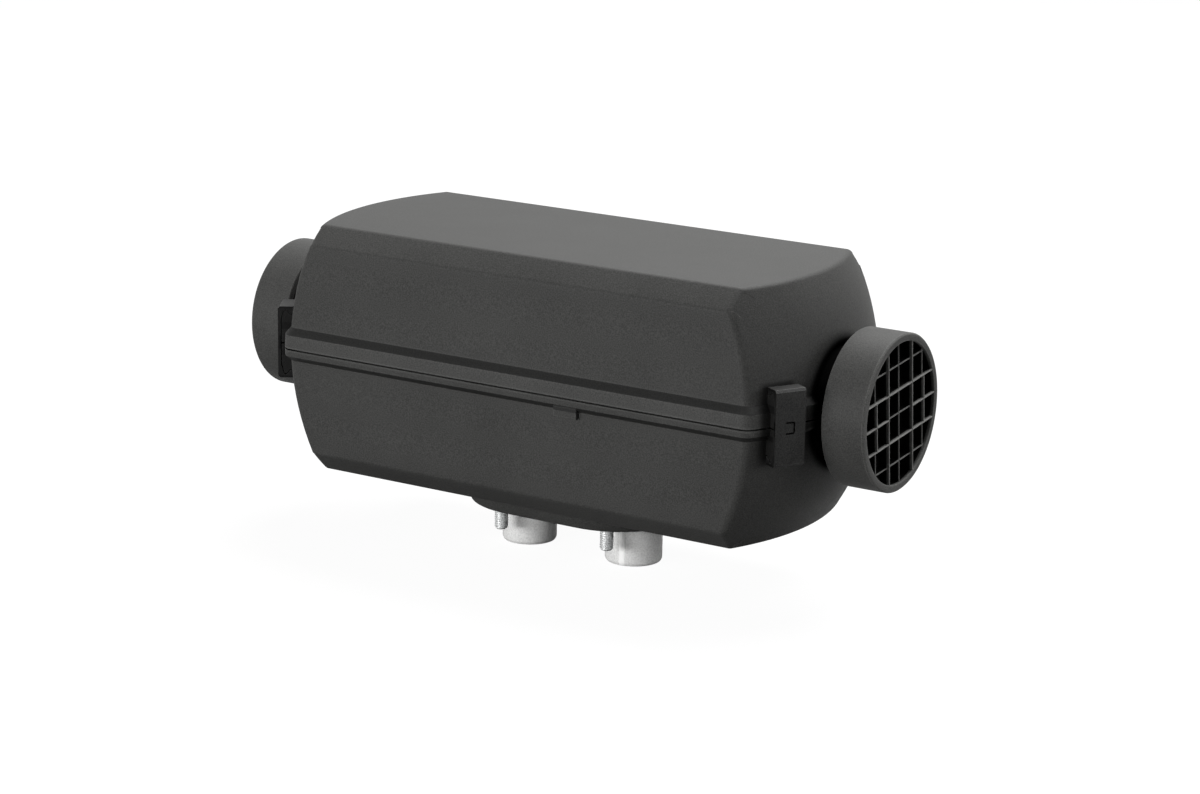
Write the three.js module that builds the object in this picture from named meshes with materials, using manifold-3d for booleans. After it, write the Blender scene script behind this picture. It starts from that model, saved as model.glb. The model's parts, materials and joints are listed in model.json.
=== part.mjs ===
// Diesel air heater: a moulded two-shell casing round a finned heat exchanger, a burner, a
// combustion-air blower and a hot-air fan. Millimetres, Z up. The pieces are built in the casing's
// frame, with X along the duct axis and the middle of the casing at the origin, and the whole is
// then moved so that the origin is the middle of the mounting face, under the flange gasket.
import * as THREE from "three";
import { mergeVertices } from "three/addons/utils/BufferGeometryUtils.js";
import Module from "manifold-3d";

const wasm = await Module();
wasm.setup();

// ---------------------------------------------------------------- driving dimensions

// Clearance between pieces that touch, and the larger one round what passes through a wall.
const gap = 0.3;
const passGap = 0.6;
// How far a cutting tool reaches past what it cuts, and a joined solid into its neighbour.
const over = 1;

// Casing shells.
const casingTop = 54.1;
const casingBottom = 55.9;
const wallHalfWidth = 56.9;
const wallDraft = 0.03;
const faceHalfWidth = 46.6;
const endRoom = 13;
const endRadiusAcross = 108;
const endRadiusUp = 100;
const cornerRadius = 4;
const shellThickness = 2.2;
const seamHeight = -0.4;
const rimProud = 2.5;
const rimAbove = 6.1;
const rimBelow = 2.8;
const rimSlope = 2.7;
const lipThickness = 1.2;
const lipHeight = 3;

// Lug under the rim.
const lugLength = 11.5;
const lugDepth = 9.4;
const lugProud = 1.9;
const lugCentre = 29.3;

// Mounting boss of the lower shell, an oval round the heat exchanger's foot.
const flangeShift = 1.3;
const flangeDrop = 65.8;
const bossDrop = 65;
const bossEndRadius = 33.3;
const bossEndSpacing = 37;
const bossWall = 2.6;
const bossDraft = 3;

// Duct rings and their grilles.
const ringRadius = 33.3;
const ringBore = 29.95;
const ringStandOff = 5;
const ringWidth = 19.3;
const ringChamfer = 0.7;
const neckRadius = 26.5;
const neckWall = 2.2;
const endOpening = 28.5;
const collarRadius = 31;
const collarThickness = 2;
const collarInset = 7.6;
const grillePitch = 10.35;
const grilleBars = 5;
const grilleBarWidth = 1.1;
const grilleBarDepth = 5;
const grilleStep = 1;
const grilleClocking = 5.3;

// Casing clips and the rails that they grip.
const clipOffset = 46;
const clipStandOff = 8.4;
const clipYaw = 31;
const clipLength = 14;
const clipHeight = 32.2;
const clipDepth = 6.8;
const clipPlate = 1.3;
const clipChamfer = 0.7;
const railHalfHeight = 14.4;
const railNeckHalfHeight = 12.3;
const railLobeDepth = 3.3;
const railNeckDepth = 5.7;
const railShoulder = 4.6;
const railRoot = 4;
const railNeckEase = 0.7;
const railTipEase = 1.2;
const railLobeEase = 1.1;
const railFaceEase = 1;
const tongueLength = 4.2;
const tongueHeight = 5.3;
const tongueSlot = 0.7;
const tongueStart = 2;

// Heat exchanger casting.
const exchangerFace = -36;
const outletRoom = 35;
const exchangerCore = 36;
const exchangerWall = 4;
const exchangerShoulder = 6;
const exchangerCrown = 5;
const exchangerFlangeLap = 1;
const exchangerFlangeThickness = 7;
const finHeight = 10;
const finCount = 20;
const finThickness = 2.2;
const finStart = -22;
const finRoot = 2;
const footPlate = 8;
const footNeckHalfLength = 36;
const footNeckHalfWidth = 16;
const footDrop = 63.3;
const stubSpacing = 54.2;
const exhaustRadius = 12.5;
const airStubRadius = 12;
const stubBore = 9.5;
const stubDrop = 85.5;
const stubEdge = 1.2;
const airInletRoof = 2;
const airPortRadius = 4.5;
const airPortInset = 5;

// Studs, screws and the flange gasket.
const studRadius = 3;
const studDrop = 75.7;
const studDepth = 12;
const studChamfer = 0.8;
const studSpacingAlong = 54.4;
const studSpacingAcross = 45;
const screwRadius = 2.5;
const screwHeadRadius = 4.2;
const screwHeadHeight = 4;
const screwInset = 3.5;
const screwTurns = [30, 150, 210, 330];
const screwReach = 5;

// Burner, gaskets and blower.
const gasketThickness = 1;
const gasketLap = 3;
const burnerRadius = 43;
const burnerPlate = 8;
const burnerBore = 12;
const flameTubeRadius = 26;
const flameTubeWall = 1.2;
const flameTubeEnd = 55;
const flameHoleRadius = 1.8;
const flameHoleCount = 8;
const flameHoleReach = 14;
const matRadius = 21;
const matThickness = 3;
const plugRadius = 2.8;
const plugLength = 30;
const plugOffset = [16, 3];
const plugHeadRadius = 4.5;
const plugHead = 4;
const blowerLength = 18.8;
const blowerWall = 4;
const blowerRim = 7.8;
const impellerClearance = 3.2;
const impellerDisc = 1.6;
const impellerWidth = 7;
const impellerRoom = 2;
const impellerBlades = 10;

// Motor, shaft and hot-air fan.
const motorRadius = 24;
const motorLength = 34;
const motorWall = 1.6;
const statorThickness = 4;
const rotorLength = 22;
const rotorSleeve = 5;
const bearingRadius = 8;
const bearingWidth = 3.6;
const bearingPlay = 1;
const shaftRadius = 2.5;
const shaftTail = 3;
const runningGap = 0.1;
const fanRadius = 40;
const fanHub = 13;
const fanHubChamfer = 4;
const fanWidth = 12;
const fanMotorGap = 2.7;
const fanBlades = 9;
const fanBladeThickness = 1.6;
const fanBladePitch = 38;
const washerRadius = 6;
const washerThickness = 1.6;
const washerRim = 0.6;

// Control unit over the motor.
const controlLength = 34;
const controlWidth = 72;
const controlFloor = 27;
const controlWall = 1.8;
const controlLid = 2.6;
const controlTongue = 2;
const controlRoom = 0.7;
const boardThickness = 1.6;
const boardRise = 2.5;
// What stands on the board: distance from its intake end, middle across, length and width as
// shares of the board, and height as a share of the control unit's.
const boardParts = [
  { from: 0.27, across: -0.02, length: 0.48, width: 0.21, height: 0.1 },
  { from: 0.17, across: 0.3, length: 0.51, width: 0.18, height: 0.3 },
  { from: 0.68, across: -0.28, length: 0.27, width: 0.27, height: 0.35 },
  { from: 0.2, across: -0.28, length: 0.2, width: 0.15, height: 0.18 },
];
const earLength = 12;
const earWidth = 12;
const earInset = 12;
const earThickness = 2;
const earRoom = 1.85;
const controlScrewRadius = 2;
const controlScrewHead = 3.6;
const controlScrewHeadHeight = 2.4;
const controlScrewDepth = 8;

// Fuel pipe, overheat sensor and cable gland.
const fuelPipeRadius = 2;
const fuelPipeBore = 1;
const fuelPipeOffset = 24;
const fuelPipeDrop = 83.5;
const fuelDepth = 11;
const fuelBend = 6;
const fuelEase = 0.7;
const sensorPadRise = 6;
const sensorLength = 14;
const sensorWidth = 10;
const sensorHeight = 4.2;
const sensorMiddle = 62;
const sensorLeadRadius = 1.4;
const sensorLeadLength = 6;
const padMargin = 2;
const springThickness = 0.6;
const springWidth = 6;
const springLength = 24;
const springLeg = 6;
const glandX = -75;
const glandDrop = 20;
const glandRadius = 8;
const glandFlange = 3;
const glandFlangeThickness = 2;
const glandBore = 3.5;
const glandChamfer = 1.2;
const glandSleeve = 3;
const glandSleeveWall = 2;

// ---------------------------------------------------------------- derived places

// The burner's head sets the size of what is bolted to it.
const exchangerFlange = burnerRadius + exchangerFlangeLap;
const screwCircle = burnerRadius - screwInset;
const airPortDrop = burnerRadius - airPortInset;
const blowerCavity = burnerRadius - blowerRim;
const impellerRadius = blowerCavity - impellerClearance;

// The stack on the heat exchanger's open face, going towards the intake end.
const burnerGasketX = exchangerFace - gap;
const burnerX = burnerGasketX - gasketThickness - gap;
const blowerGasketX = burnerX - burnerPlate - gap;
const blowerX = blowerGasketX - gasketThickness - gap;
const blowerBack = blowerX - blowerLength;
const motorX = blowerBack - gap;
const motorBack = motorX - motorLength;
const fanBack = motorBack - fanMotorGap - fanWidth;
const shaftEnd = shaftTail - fanBack;

// The casing is as long as its contents need, and the rings stand off its ends.
const endReach = shaftEnd + endRoom;
const exchangerEnd = endReach - outletRoom;
const ringBack = endReach + ringStandOff;
const ringFront = ringBack + ringWidth;

const finTip = exchangerCore + finHeight;
const sensorPadHeight = exchangerCore + sensorPadRise;

// The control unit's ears clear the blower under them, and its tray is as high as its ears.
const earSpacing = controlWidth - 2 * earInset;
const earBase = Math.sqrt(exchangerFlange ** 2 - ((earSpacing - earWidth) / 2) ** 2) + earRoom;
const controlHeight = earBase + earThickness - controlFloor;

// ---------------------------------------------------------------- solids from geometries

// A closed geometry as a solid.
function solid(geometry) {
  const bare = geometry.clone();
  bare.deleteAttribute("normal");
  bare.deleteAttribute("uv");
  const merged = mergeVertices(bare, 1e-4);
  return new wasm.Manifold(
    new wasm.Mesh({
      numProp: 3,
      vertProperties: new Float32Array(merged.attributes.position.array),
      triVerts: new Uint32Array(merged.index.array),
    }),
  );
}

function join(...solids) {
  return solids.reduce((sum, next) => sum.add(next));
}

function cut(body, ...tools) {
  return tools.reduce((rest, tool) => rest.subtract(tool), body);
}

// A box from its low and high corners.
function block(low, high) {
  const size = high.map((value, i) => value - low[i]);
  const middle = high.map((value, i) => (value + low[i]) / 2);
  return solid(new THREE.BoxGeometry(...size).translate(...middle));
}

// A solid of revolution round X from an outline of [x, radius] points, which closes on itself
// unless it begins and ends on the axis.
function turned(outline, segments = 36) {
  const profile = outline.map(([x, radius]) => new THREE.Vector2(radius, x));
  if (THREE.ShapeUtils.isClockWise(profile)) profile.reverse();
  if (profile[0].x > 0) profile.push(profile[0].clone());
  return solid(new THREE.LatheGeometry(profile, segments).rotateZ(-Math.PI / 2));
}

function rodX(radius, x0, x1, y = 0, z = 0, segments = 24) {
  const rod = new THREE.CylinderGeometry(radius, radius, x1 - x0, segments);
  return solid(rod.rotateZ(Math.PI / 2).translate((x0 + x1) / 2, y, z));
}

function tubeX(outer, inner, x0, x1, segments = 36) {
  return turned([[x0, inner], [x1, inner], [x1, outer], [x0, outer]], segments);
}

function rodZ(radius, z0, z1, x, y, segments = 20) {
  const rod = new THREE.CylinderGeometry(radius, radius, z1 - z0, segments);
  return solid(rod.rotateX(Math.PI / 2).translate(x, y, (z0 + z1) / 2));
}

// Points of an arc, counterclockwise from angle a to angle b.
function arc(x, y, radius, a, b, steps) {
  return new THREE.EllipseCurve(x, y, radius, radius, a, b).getPoints(steps);
}

// A solid through stacked outlines, each {z, points}, all with the same number of points.
function lofted(rings) {
  const count = rings[0].points.length;
  const positions = rings.flatMap((ring) => ring.points.flatMap((p) => [p.x, p.y, ring.z]));
  const faces = [];
  for (let level = 0; level + 1 < rings.length; level++) {
    for (let i = 0; i < count; i++) {
      const a = level * count + i;
      const b = level * count + ((i + 1) % count);
      faces.push(a, b, b + count, a, b + count, a + count);
    }
  }
  const last = (rings.length - 1) * count;
  for (const [i, j, k] of THREE.ShapeUtils.triangulateShape(rings[0].points, [])) {
    faces.push(k, j, i);
  }
  for (const [i, j, k] of THREE.ShapeUtils.triangulateShape(rings.at(-1).points, [])) {
    faces.push(last + i, last + j, last + k);
  }
  const geometry = new THREE.BufferGeometry();
  geometry.setAttribute("position", new THREE.Float32BufferAttribute(positions, 3));
  geometry.setIndex(faces);
  return solid(geometry);
}

// Copies of a geometry turned round X, joined.
function ringOf(count, make, start = 0) {
  const turns = Array.from({ length: count }, (_, i) => start + (2 * Math.PI * i) / count);
  return join(...turns.map((turn) => solid(make().rotateX(turn))));
}

// ---------------------------------------------------------------- casing

const rimHigh = seamHeight + rimAbove;
const rimLow = seamHeight - rimBelow;

// How far a dome of the given radius has fallen back at a distance from its middle.
function domeFall(radius, distance) {
  return radius - Math.sqrt(radius * radius - distance * distance);
}

function faceHeight(z) {
  return z > 0 ? casingTop : casingBottom;
}

// Half width of the casing at a height: drafted side walls, and 45 degree bevels to the flats.
function halfWidth(z, inset) {
  const wall = wallHalfWidth - wallDraft * Math.abs(z) - inset;
  const bevel = faceHalfWidth + faceHeight(z) - Math.abs(z) - inset * Math.SQRT2;
  return Math.min(wall, bevel);
}

// Height at which the bevel begins.
function creaseHeight(side, inset) {
  const spare = faceHalfWidth + faceHeight(side) - wallHalfWidth - inset * (Math.SQRT2 - 1);
  return (side * spare) / (1 - wallDraft);
}

// The casing's outline in plan at a height, inset from the outer face.
function casingOutline(z, inset) {
  const half = halfWidth(z, inset);
  const radius = endRadiusAcross - inset;
  const centre = endReach - domeFall(endRadiusUp, z) - endRadiusAcross;
  const corner = Math.max(cornerRadius - inset, gap);
  const lift = half - corner;
  const tilt = Math.asin(lift / (radius - corner));
  const x = centre + Math.sqrt((radius - corner) ** 2 - lift ** 2);
  const right = [
    ...arc(x, -lift, corner, -Math.PI / 2, -tilt, 3),
    ...arc(centre, 0, radius, -tilt, tilt, 10).slice(1),
    ...arc(x, lift, corner, tilt, Math.PI / 2, 3).slice(1),
  ];
  const left = right.map((p) => new THREE.Vector2(-p.x, -p.y));
  return [...right, ...left];
}

// Levels of the casing's loft, [height, inset], with the rim standing proud at the seam.
function casingLevels(inset, withRim) {
  const steps = withRim ? 4 : 3;
  const low = creaseHeight(-1, inset);
  const high = creaseHeight(1, inset);
  const rimBottom = rimLow - rimSlope;
  const rimTop = rimHigh + rimSlope;
  const below = Array.from({ length: steps }, (_, i) => low + ((rimBottom - low) * i) / steps);
  const above = Array.from({ length: steps }, (_, i) => high + ((rimTop - high) * i) / steps);
  const rim = withRim
    ? [[rimBottom, inset], [rimLow, inset - rimProud], [rimHigh, inset - rimProud], [rimTop, inset]]
    : [[rimBottom, inset], [rimTop, inset]];
  return [
    [inset - casingBottom, inset],
    ...below.map((z) => [z, inset]),
    ...rim,
    ...above.reverse().map((z) => [z, inset]),
    [casingTop - inset, inset],
  ];
}

function casingBody(inset, withRim) {
  const rings = casingLevels(inset, withRim).map(([z, depth]) => ({
    z,
    points: casingOutline(z, depth),
  }));
  return lofted(rings);
}

// A band of the casing's section between two insets and two heights.
function casingBand(outerInset, innerInset, z0, z1) {
  const slab = (inset) => lofted([z0, z1].map((z) => ({ z, points: casingOutline(z, inset) })));
  return cut(slab(outerInset), slab(innerInset));
}

// An oval in plan: two half circles joined by straight sides, over the mounting flange.
function ovalOutline(inset, steps = 10) {
  const radius = bossEndRadius - inset;
  const half = bossEndSpacing / 2;
  return [
    ...arc(flangeShift + half, 0, radius, -Math.PI / 2, Math.PI / 2, steps),
    ...arc(flangeShift - half, 0, radius, Math.PI / 2, (3 * Math.PI) / 2, steps),
  ];
}

function ovalBlock(z0, z1, inset0, inset1 = inset0) {
  const rings = [[z0, inset0], [z1, inset1]];
  return lofted(rings.map(([z, inset]) => ({ z, points: ovalOutline(inset) })));
}

// Everything between two heights, as a block.
function halfSpace(z0, z1) {
  const x = ringFront;
  const y = wallHalfWidth + rimProud + endRoom;
  return block([-x, -y, z0], [x, y, z1]);
}

// The clips' four places: each is turned about Z, two of them after half a turn about X.
const clipPlaces = [
  { name: "front_right", flip: false, yaw: -clipYaw, sign: [1, -1] },
  { name: "rear_right", flip: true, yaw: clipYaw, sign: [1, 1] },
  { name: "front_left", flip: true, yaw: 180 + clipYaw, sign: [-1, -1] },
  { name: "rear_left", flip: false, yaw: 180 - clipYaw, sign: [-1, 1] },
];

function clipMatrix({ flip, yaw, sign }) {
  const y = clipOffset;
  const x = endReach - domeFall(endRadiusAcross, y) + clipStandOff;
  const matrix = new THREE.Matrix4().makeTranslation(sign[0] * x, sign[1] * y, seamHeight);
  matrix.multiply(new THREE.Matrix4().makeRotationZ(THREE.MathUtils.degToRad(yaw)));
  if (flip) matrix.multiply(new THREE.Matrix4().makeRotationX(Math.PI));
  return matrix;
}

// Section of a clip rail, x outwards from the casing and y up, grown by a clearance.
// The origin is on the clip's outer face.
function railOutline(grow, base) {
  const face = grow - clipPlate - gap;
  const top = railHalfHeight + grow;
  const neck = railNeckHalfHeight + grow;
  const shoulder = top - railShoulder;
  const neckX = railNeckEase - railNeckDepth;
  const tipX = -railTipEase - railLobeDepth;
  const lobeX = railLobeEase - railLobeDepth;
  const shape = new THREE.Shape();
  shape.moveTo(base, -neck);
  shape.lineTo(-railNeckDepth, -neck);
  shape.bezierCurveTo(neckX, -neck, tipX, -top, -railLobeDepth, -top);
  shape.bezierCurveTo(lobeX, -top, face, railFaceEase - shoulder, face, -shoulder);
  shape.lineTo(face, shoulder);
  shape.bezierCurveTo(face, shoulder - railFaceEase, lobeX, top, -railLobeDepth, top);
  shape.bezierCurveTo(tipX, top, neckX, neck, -railNeckDepth, neck);
  shape.lineTo(base, neck);
  shape.closePath();
  return shape;
}

// A section extruded along the rail, centred on the clip's middle.
function alongRail(shape, length) {
  const geometry = new THREE.ExtrudeGeometry(shape, {
    depth: length,
    bevelEnabled: false,
    curveSegments: 5,
  });
  return geometry.translate(0, 0, -length / 2).rotateX(Math.PI / 2);
}

function rails() {
  const reach = clipDepth + railRoot;
  const bars = clipPlaces.map((place) =>
    solid(alongRail(railOutline(0, -reach), clipLength - 2 * gap).applyMatrix4(clipMatrix(place))),
  );
  return join(...bars);
}

// The lugs under the rim, one on each long side.
function lugs() {
  const half = lugLength / 2;
  const outer = wallHalfWidth + lugProud;
  const inner = wallHalfWidth - shellThickness;
  const front = block([lugCentre - half, -outer, -lugDepth], [lugCentre + half, -inner, rimLow]);
  const rear = block([lugCentre - half, inner, -lugDepth], [lugCentre + half, outer, rimLow]);
  return join(front, rear);
}

const hollow = casingBody(shellThickness, false);
const ductOpening = rodX(endOpening, -endReach - rimProud, endReach + rimProud, 0, 0, 48);

function upperCasing() {
  const above = halfSpace(seamHeight + gap / 2, casingTop + over);
  const outer = join(casingBody(0, true), rails()).intersect(above);
  return cut(outer, hollow, ductOpening);
}

function lowerCasing() {
  const below = halfSpace(-bossDrop - over, seamHeight - gap / 2);
  const boss = ovalBlock(-bossDrop, -casingBottom + shellThickness, 0, -bossDraft);
  const outer = join(casingBody(0, true), rails(), boss, lugs()).intersect(below);
  const lipInset = shellThickness + gap;
  const lipFoot = seamHeight - 2 * lipHeight;
  const lip = join(
    casingBand(lipInset, lipInset + lipThickness, lipFoot, seamHeight + lipHeight),
    casingBand(shellThickness - gap, lipInset + lipThickness, lipFoot, seamHeight - lipHeight),
  );
  const collarRoom = rodX(collarRadius + passGap, -endReach, endReach, 0, 0, 32);
  const opening = ovalBlock(-bossDrop - over, -casingBottom + shellThickness + over, bossWall);
  const glandWall = wallHalfWidth - shellThickness - lipThickness;
  const glandHole = solid(
    new THREE.CylinderGeometry(glandRadius, glandRadius, 3 * shellThickness, 32).translate(
      glandX,
      glandWall + 1.5 * shellThickness,
      -glandDrop,
    ),
  );
  return cut(join(cut(outer, hollow), cut(lip, collarRoom)), ductOpening, opening, glandHole);
}

// ---------------------------------------------------------------- duct rings

// Middle lines of the grille's bars.
const grilleLines = Array.from(
  { length: grilleBars },
  (_, i) => (i - (grilleBars - 1) / 2) * grillePitch,
);

// Bars of one direction. The second and fourth reach the ring's face, the rest lie a step lower.
// In the middle row of the outer cells, a cross of bars comes level with the face again.
function grille() {
  const chord = (line) => Math.sqrt((ringBore + gap) ** 2 - line ** 2);
  const half = grilleBarWidth / 2;
  const back = ringFront - grilleBarDepth;
  const bars = [];
  for (const [i, line] of grilleLines.entries()) {
    const front = i % 2 === 1 ? ringFront - gap : ringFront - gap - grilleStep;
    const reach = chord(line);
    bars.push(block([back, line - half, -reach], [front, line + half, reach]));
    bars.push(block([back, -reach, line - half], [front, reach, line + half]));
  }
  for (const side of [-1, 1]) {
    const outer = side * 2 * grillePitch;
    const ends = [side * grillePitch, side * chord(0)].sort((a, b) => a - b);
    bars.push(block([back, outer - half, -grillePitch], [ringFront - gap, outer + half, grillePitch]));
    bars.push(block([back, ends[0], -half], [ringFront - gap, ends[1], half]));
  }
  return join(...bars);
}

// A duct ring with its neck, the collar that the shells trap, and its grille.
function ductRing() {
  const collarX = endReach - collarInset;
  const neckBore = neckRadius - neckWall;
  const plate = ringBack + neckWall;
  const body = turned(
    [
      [collarX - collarThickness, neckBore],
      [plate, neckBore],
      [plate + ringBore - neckBore, ringBore],
      [ringFront, ringBore],
      [ringFront, ringRadius - ringChamfer],
      [ringFront - ringChamfer, ringRadius],
      [ringBack, ringRadius],
      [ringBack, neckRadius],
      [collarX, neckRadius],
      [collarX, collarRadius],
      [collarX - collarThickness, collarRadius],
    ],
    48,
  );
  return join(body, grille());
}

// ---------------------------------------------------------------- casing clips

function casingClip() {
  const half = clipHeight / 2;
  const shape = new THREE.Shape();
  shape.moveTo(-clipDepth, -half);
  shape.lineTo(-clipChamfer, -half);
  shape.lineTo(0, clipChamfer - half);
  shape.lineTo(0, half - clipChamfer);
  shape.lineTo(-clipChamfer, half);
  shape.lineTo(-clipDepth, half);
  shape.closePath();
  const body = solid(alongRail(shape, clipLength));
  const cavity = solid(alongRail(railOutline(gap, -clipDepth - over), clipLength + 2 * over));
  const low = [-clipPlate - over, -tongueStart, -tongueHeight / 2];
  const high = [over, tongueLength - tongueStart, tongueHeight / 2];
  const slots = [
    block(low, [high[0], high[1], low[2] + tongueSlot]),
    block([low[0], low[1], high[2] - tongueSlot], high),
    block([low[0], high[1] - tongueSlot, low[2]], high),
  ];
  return cut(body, cavity, ...slots);
}

// ---------------------------------------------------------------- heat exchanger

const exhaustX = flangeShift + stubSpacing / 2;
const airStubX = flangeShift - stubSpacing / 2;
const sides = [-1, 1];
const screwAngles = screwTurns.map(THREE.MathUtils.degToRad);
const studPlaces = sides.flatMap((along) =>
  sides.map((side) => [flangeShift + (along * studSpacingAlong) / 2, (side * studSpacingAcross) / 2]),
);

// Holes for the long screws through the stack, between two places along X.
function screwHoles(x0, x1) {
  const holes = screwAngles.map((turn) =>
    rodX(screwRadius + gap, x0, x1, screwCircle * Math.cos(turn), screwCircle * Math.sin(turn), 12),
  );
  return join(...holes);
}

function airPort(x0, x1) {
  return rodX(airPortRadius, x0, x1, 0, -airPortDrop, 20);
}

// A casting's pipe stub under the foot, with a rounded lower edge.
function stub(x, radius) {
  const length = stubDrop - footDrop + over;
  const soft = 0.3 * stubEdge;
  const profile = [
    new THREE.Vector2(0, 0),
    new THREE.Vector2(radius - stubEdge, 0),
    new THREE.Vector2(radius - soft, soft),
    new THREE.Vector2(radius, stubEdge),
    new THREE.Vector2(radius, length),
    new THREE.Vector2(0, length),
  ];
  return solid(new THREE.LatheGeometry(profile, 32).rotateX(Math.PI / 2).translate(x, 0, -stubDrop));
}

function fin() {
  const length = exchangerEnd - finStart;
  const height = finHeight + finRoot;
  return new THREE.BoxGeometry(length, finThickness, height).translate(
    finStart + length / 2,
    0,
    finTip - height / 2,
  );
}

function heatExchanger() {
  const core = turned([
    [exchangerFace, 0],
    [exchangerFace, exchangerFlange],
    [exchangerFace + exchangerFlangeThickness, exchangerFlange],
    [exchangerFace + exchangerFlangeThickness, exchangerCore],
    [exchangerEnd - exchangerShoulder, exchangerCore],
    [exchangerEnd, exchangerCore - exchangerShoulder],
    [exchangerEnd + 0.8 * exchangerCrown, exchangerCore - 3 * exchangerShoulder],
    [exchangerEnd + exchangerCrown, 0],
  ], 2 * finCount);
  const plateTop = footPlate - footDrop;
  const foot = join(
    ovalBlock(-footDrop, plateTop, bossWall + passGap),
    block(
      [flangeShift - footNeckHalfLength, -footNeckHalfWidth, plateTop - over],
      [flangeShift + footNeckHalfLength, footNeckHalfWidth, finRoot - exchangerCore],
    ),
  );
  const fins = ringOf(finCount, fin, Math.PI / (2 * finCount));
  const outer = join(core, fins, foot, stub(exhaustX, exhaustRadius), stub(airStubX, airStubRadius));
  const chamberRadius = exchangerCore - exchangerWall;
  const chamberEnd = exchangerEnd + exchangerCrown - 1.25 * exchangerWall;
  const chamber = turned([
    [exchangerFace - over, 0],
    [exchangerFace - over, chamberRadius],
    [chamberEnd - exchangerShoulder - exchangerWall, chamberRadius],
    [chamberEnd - over, chamberRadius - 4 * exchangerWall],
    [chamberEnd, 0],
  ], 32);
  const exhaustPort = rodZ(stubBore, -stubDrop - over, -chamberRadius + 2 * over, exhaustX, 0, 24);
  const inletTop = plateTop - airInletRoof;
  const airInlet = rodZ(stubBore, -stubDrop - over, inletTop, airStubX, 0, 24);
  const airRiser = rodZ(airPortRadius, inletTop - over, -airPortDrop, airStubX, 0, 20);
  const studHoles = studPlaces.map(([x, y]) =>
    rodZ(studRadius + gap, -footDrop - over, -footDrop + studDepth + gap, x, y, 16),
  );
  const pipeHole = rodZ(
    fuelPipeRadius + passGap,
    -footDrop - over,
    plateTop + over,
    flangeShift,
    fuelPipeOffset,
    16,
  );
  const padHalf = springLength / 2 + padMargin;
  const pad = block(
    [sensorMiddle - padHalf, -sensorWidth, sensorPadHeight],
    [sensorMiddle + padHalf, sensorWidth, finTip + over],
  );
  const padBase = block(
    [sensorMiddle - padHalf, -sensorWidth, exchangerCore - finRoot],
    [sensorMiddle + padHalf, sensorWidth, sensorPadHeight],
  );
  return cut(
    join(cut(outer, pad), padBase),
    chamber,
    exhaustPort,
    airInlet,
    airRiser,
    airPort(exchangerFace - over, airStubX),
    screwHoles(exchangerFace - over, exchangerFace + screwReach + gap),
    springHoles(),
    pipeHole,
    ...studHoles,
  );
}

function mountingStud([x, y]) {
  const length = studDrop - footDrop + studDepth;
  const profile = [
    new THREE.Vector2(0, 0),
    new THREE.Vector2(studRadius - studChamfer, 0),
    new THREE.Vector2(studRadius, studChamfer),
    new THREE.Vector2(studRadius, length),
    new THREE.Vector2(0, length),
  ];
  return solid(new THREE.LatheGeometry(profile, 24).rotateX(Math.PI / 2).translate(x, y, -studDrop));
}

function flangeGasket() {
  const sheet = ovalBlock(-flangeDrop, -footDrop - gap, bossWall + passGap);
  const low = -flangeDrop - over;
  const high = over - footDrop;
  return cut(
    sheet,
    rodZ(exhaustRadius + passGap, low, high, exhaustX, 0, 28),
    rodZ(airStubRadius + passGap, low, high, airStubX, 0, 28),
    rodZ(fuelPipeRadius + passGap, low, high, flangeShift, fuelPipeOffset, 16),
    ...studPlaces.map(([x, y]) => rodZ(studRadius + gap, low, high, x, y, 16)),
  );
}

// ---------------------------------------------------------------- burner and blower

// The fuel pipe enters the burner head radially, at this turn round X from straight below.
const fuelX = burnerX - burnerPlate / 2;
const fuelLevel = -finTip - fuelPipeRadius - 2 * passGap;
const fuelTurn = Math.atan2(fuelPipeOffset, -fuelLevel);
const fuelApproach = Math.hypot(fuelPipeOffset, fuelLevel) - fuelEase;

function fuelEntry(radius) {
  return new THREE.Vector3(fuelX, radius * Math.sin(fuelTurn), -radius * Math.cos(fuelTurn));
}

function stackGasket(x, outer, inner) {
  const back = x - gasketThickness;
  const sheet = tubeX(outer, inner, back, x);
  return cut(sheet, screwHoles(back - over, x + over), airPort(back - over, x + over));
}

// The burner: its cast head and the perforated flame tube that reaches into the exchanger.
function burner() {
  const back = burnerX - burnerPlate;
  const head = rodX(burnerRadius, back, burnerX, 0, 0, 36);
  const tubeBore = flameTubeRadius - flameTubeWall;
  const tube = tubeX(flameTubeRadius, tubeBore, burnerX - over, flameTubeEnd, 28);
  const hole = () =>
    new THREE.CylinderGeometry(flameHoleRadius, flameHoleRadius, 6 * flameTubeWall, 6)
      .rotateX(Math.PI / 2)
      .translate(exchangerFace + flameHoleReach, 0, flameTubeRadius);
  const [plugY, plugZ] = plugOffset;
  const fuelBore = fuelPipeRadius + gap;
  const fuelHole = new THREE.CylinderGeometry(fuelBore, fuelBore, fuelDepth + over, 16)
    .rotateX(Math.PI / 2)
    .translate(fuelX, 0, (fuelDepth - over) / 2 - burnerRadius)
    .rotateX(fuelTurn);
  return cut(
    join(head, tube),
    ringOf(flameHoleCount, hole, Math.PI / flameHoleCount),
    rodX(burnerBore, back - over, burnerX + over, 0, 0, 24),
    rodX(plugRadius + gap, back - over, burnerX + over, plugY, plugZ, 16),
    solid(fuelHole),
    screwHoles(back - over, burnerX + over),
    airPort(back - over, burnerX + over),
  );
}

// The evaporator mat: a felt ring on the burner head, clear of the air bore and the glow plug.
function evaporatorMat() {
  const low = burnerX + gap;
  const [plugY, plugZ] = plugOffset;
  const high = low + matThickness;
  const sheet = tubeX(matRadius, burnerBore + over, low, high, 28);
  return cut(sheet, rodX(plugRadius + gap, low - over, high + over, plugY, plugZ, 16));
}

function glowPlug() {
  const seat = burnerX - burnerPlate - gap;
  const [plugY, plugZ] = plugOffset;
  return join(
    rodX(plugRadius, seat - over, seat + plugLength, plugY, plugZ, 20),
    rodX(plugHeadRadius, seat - plugHead, seat, plugY, plugZ, 6),
  );
}

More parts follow.
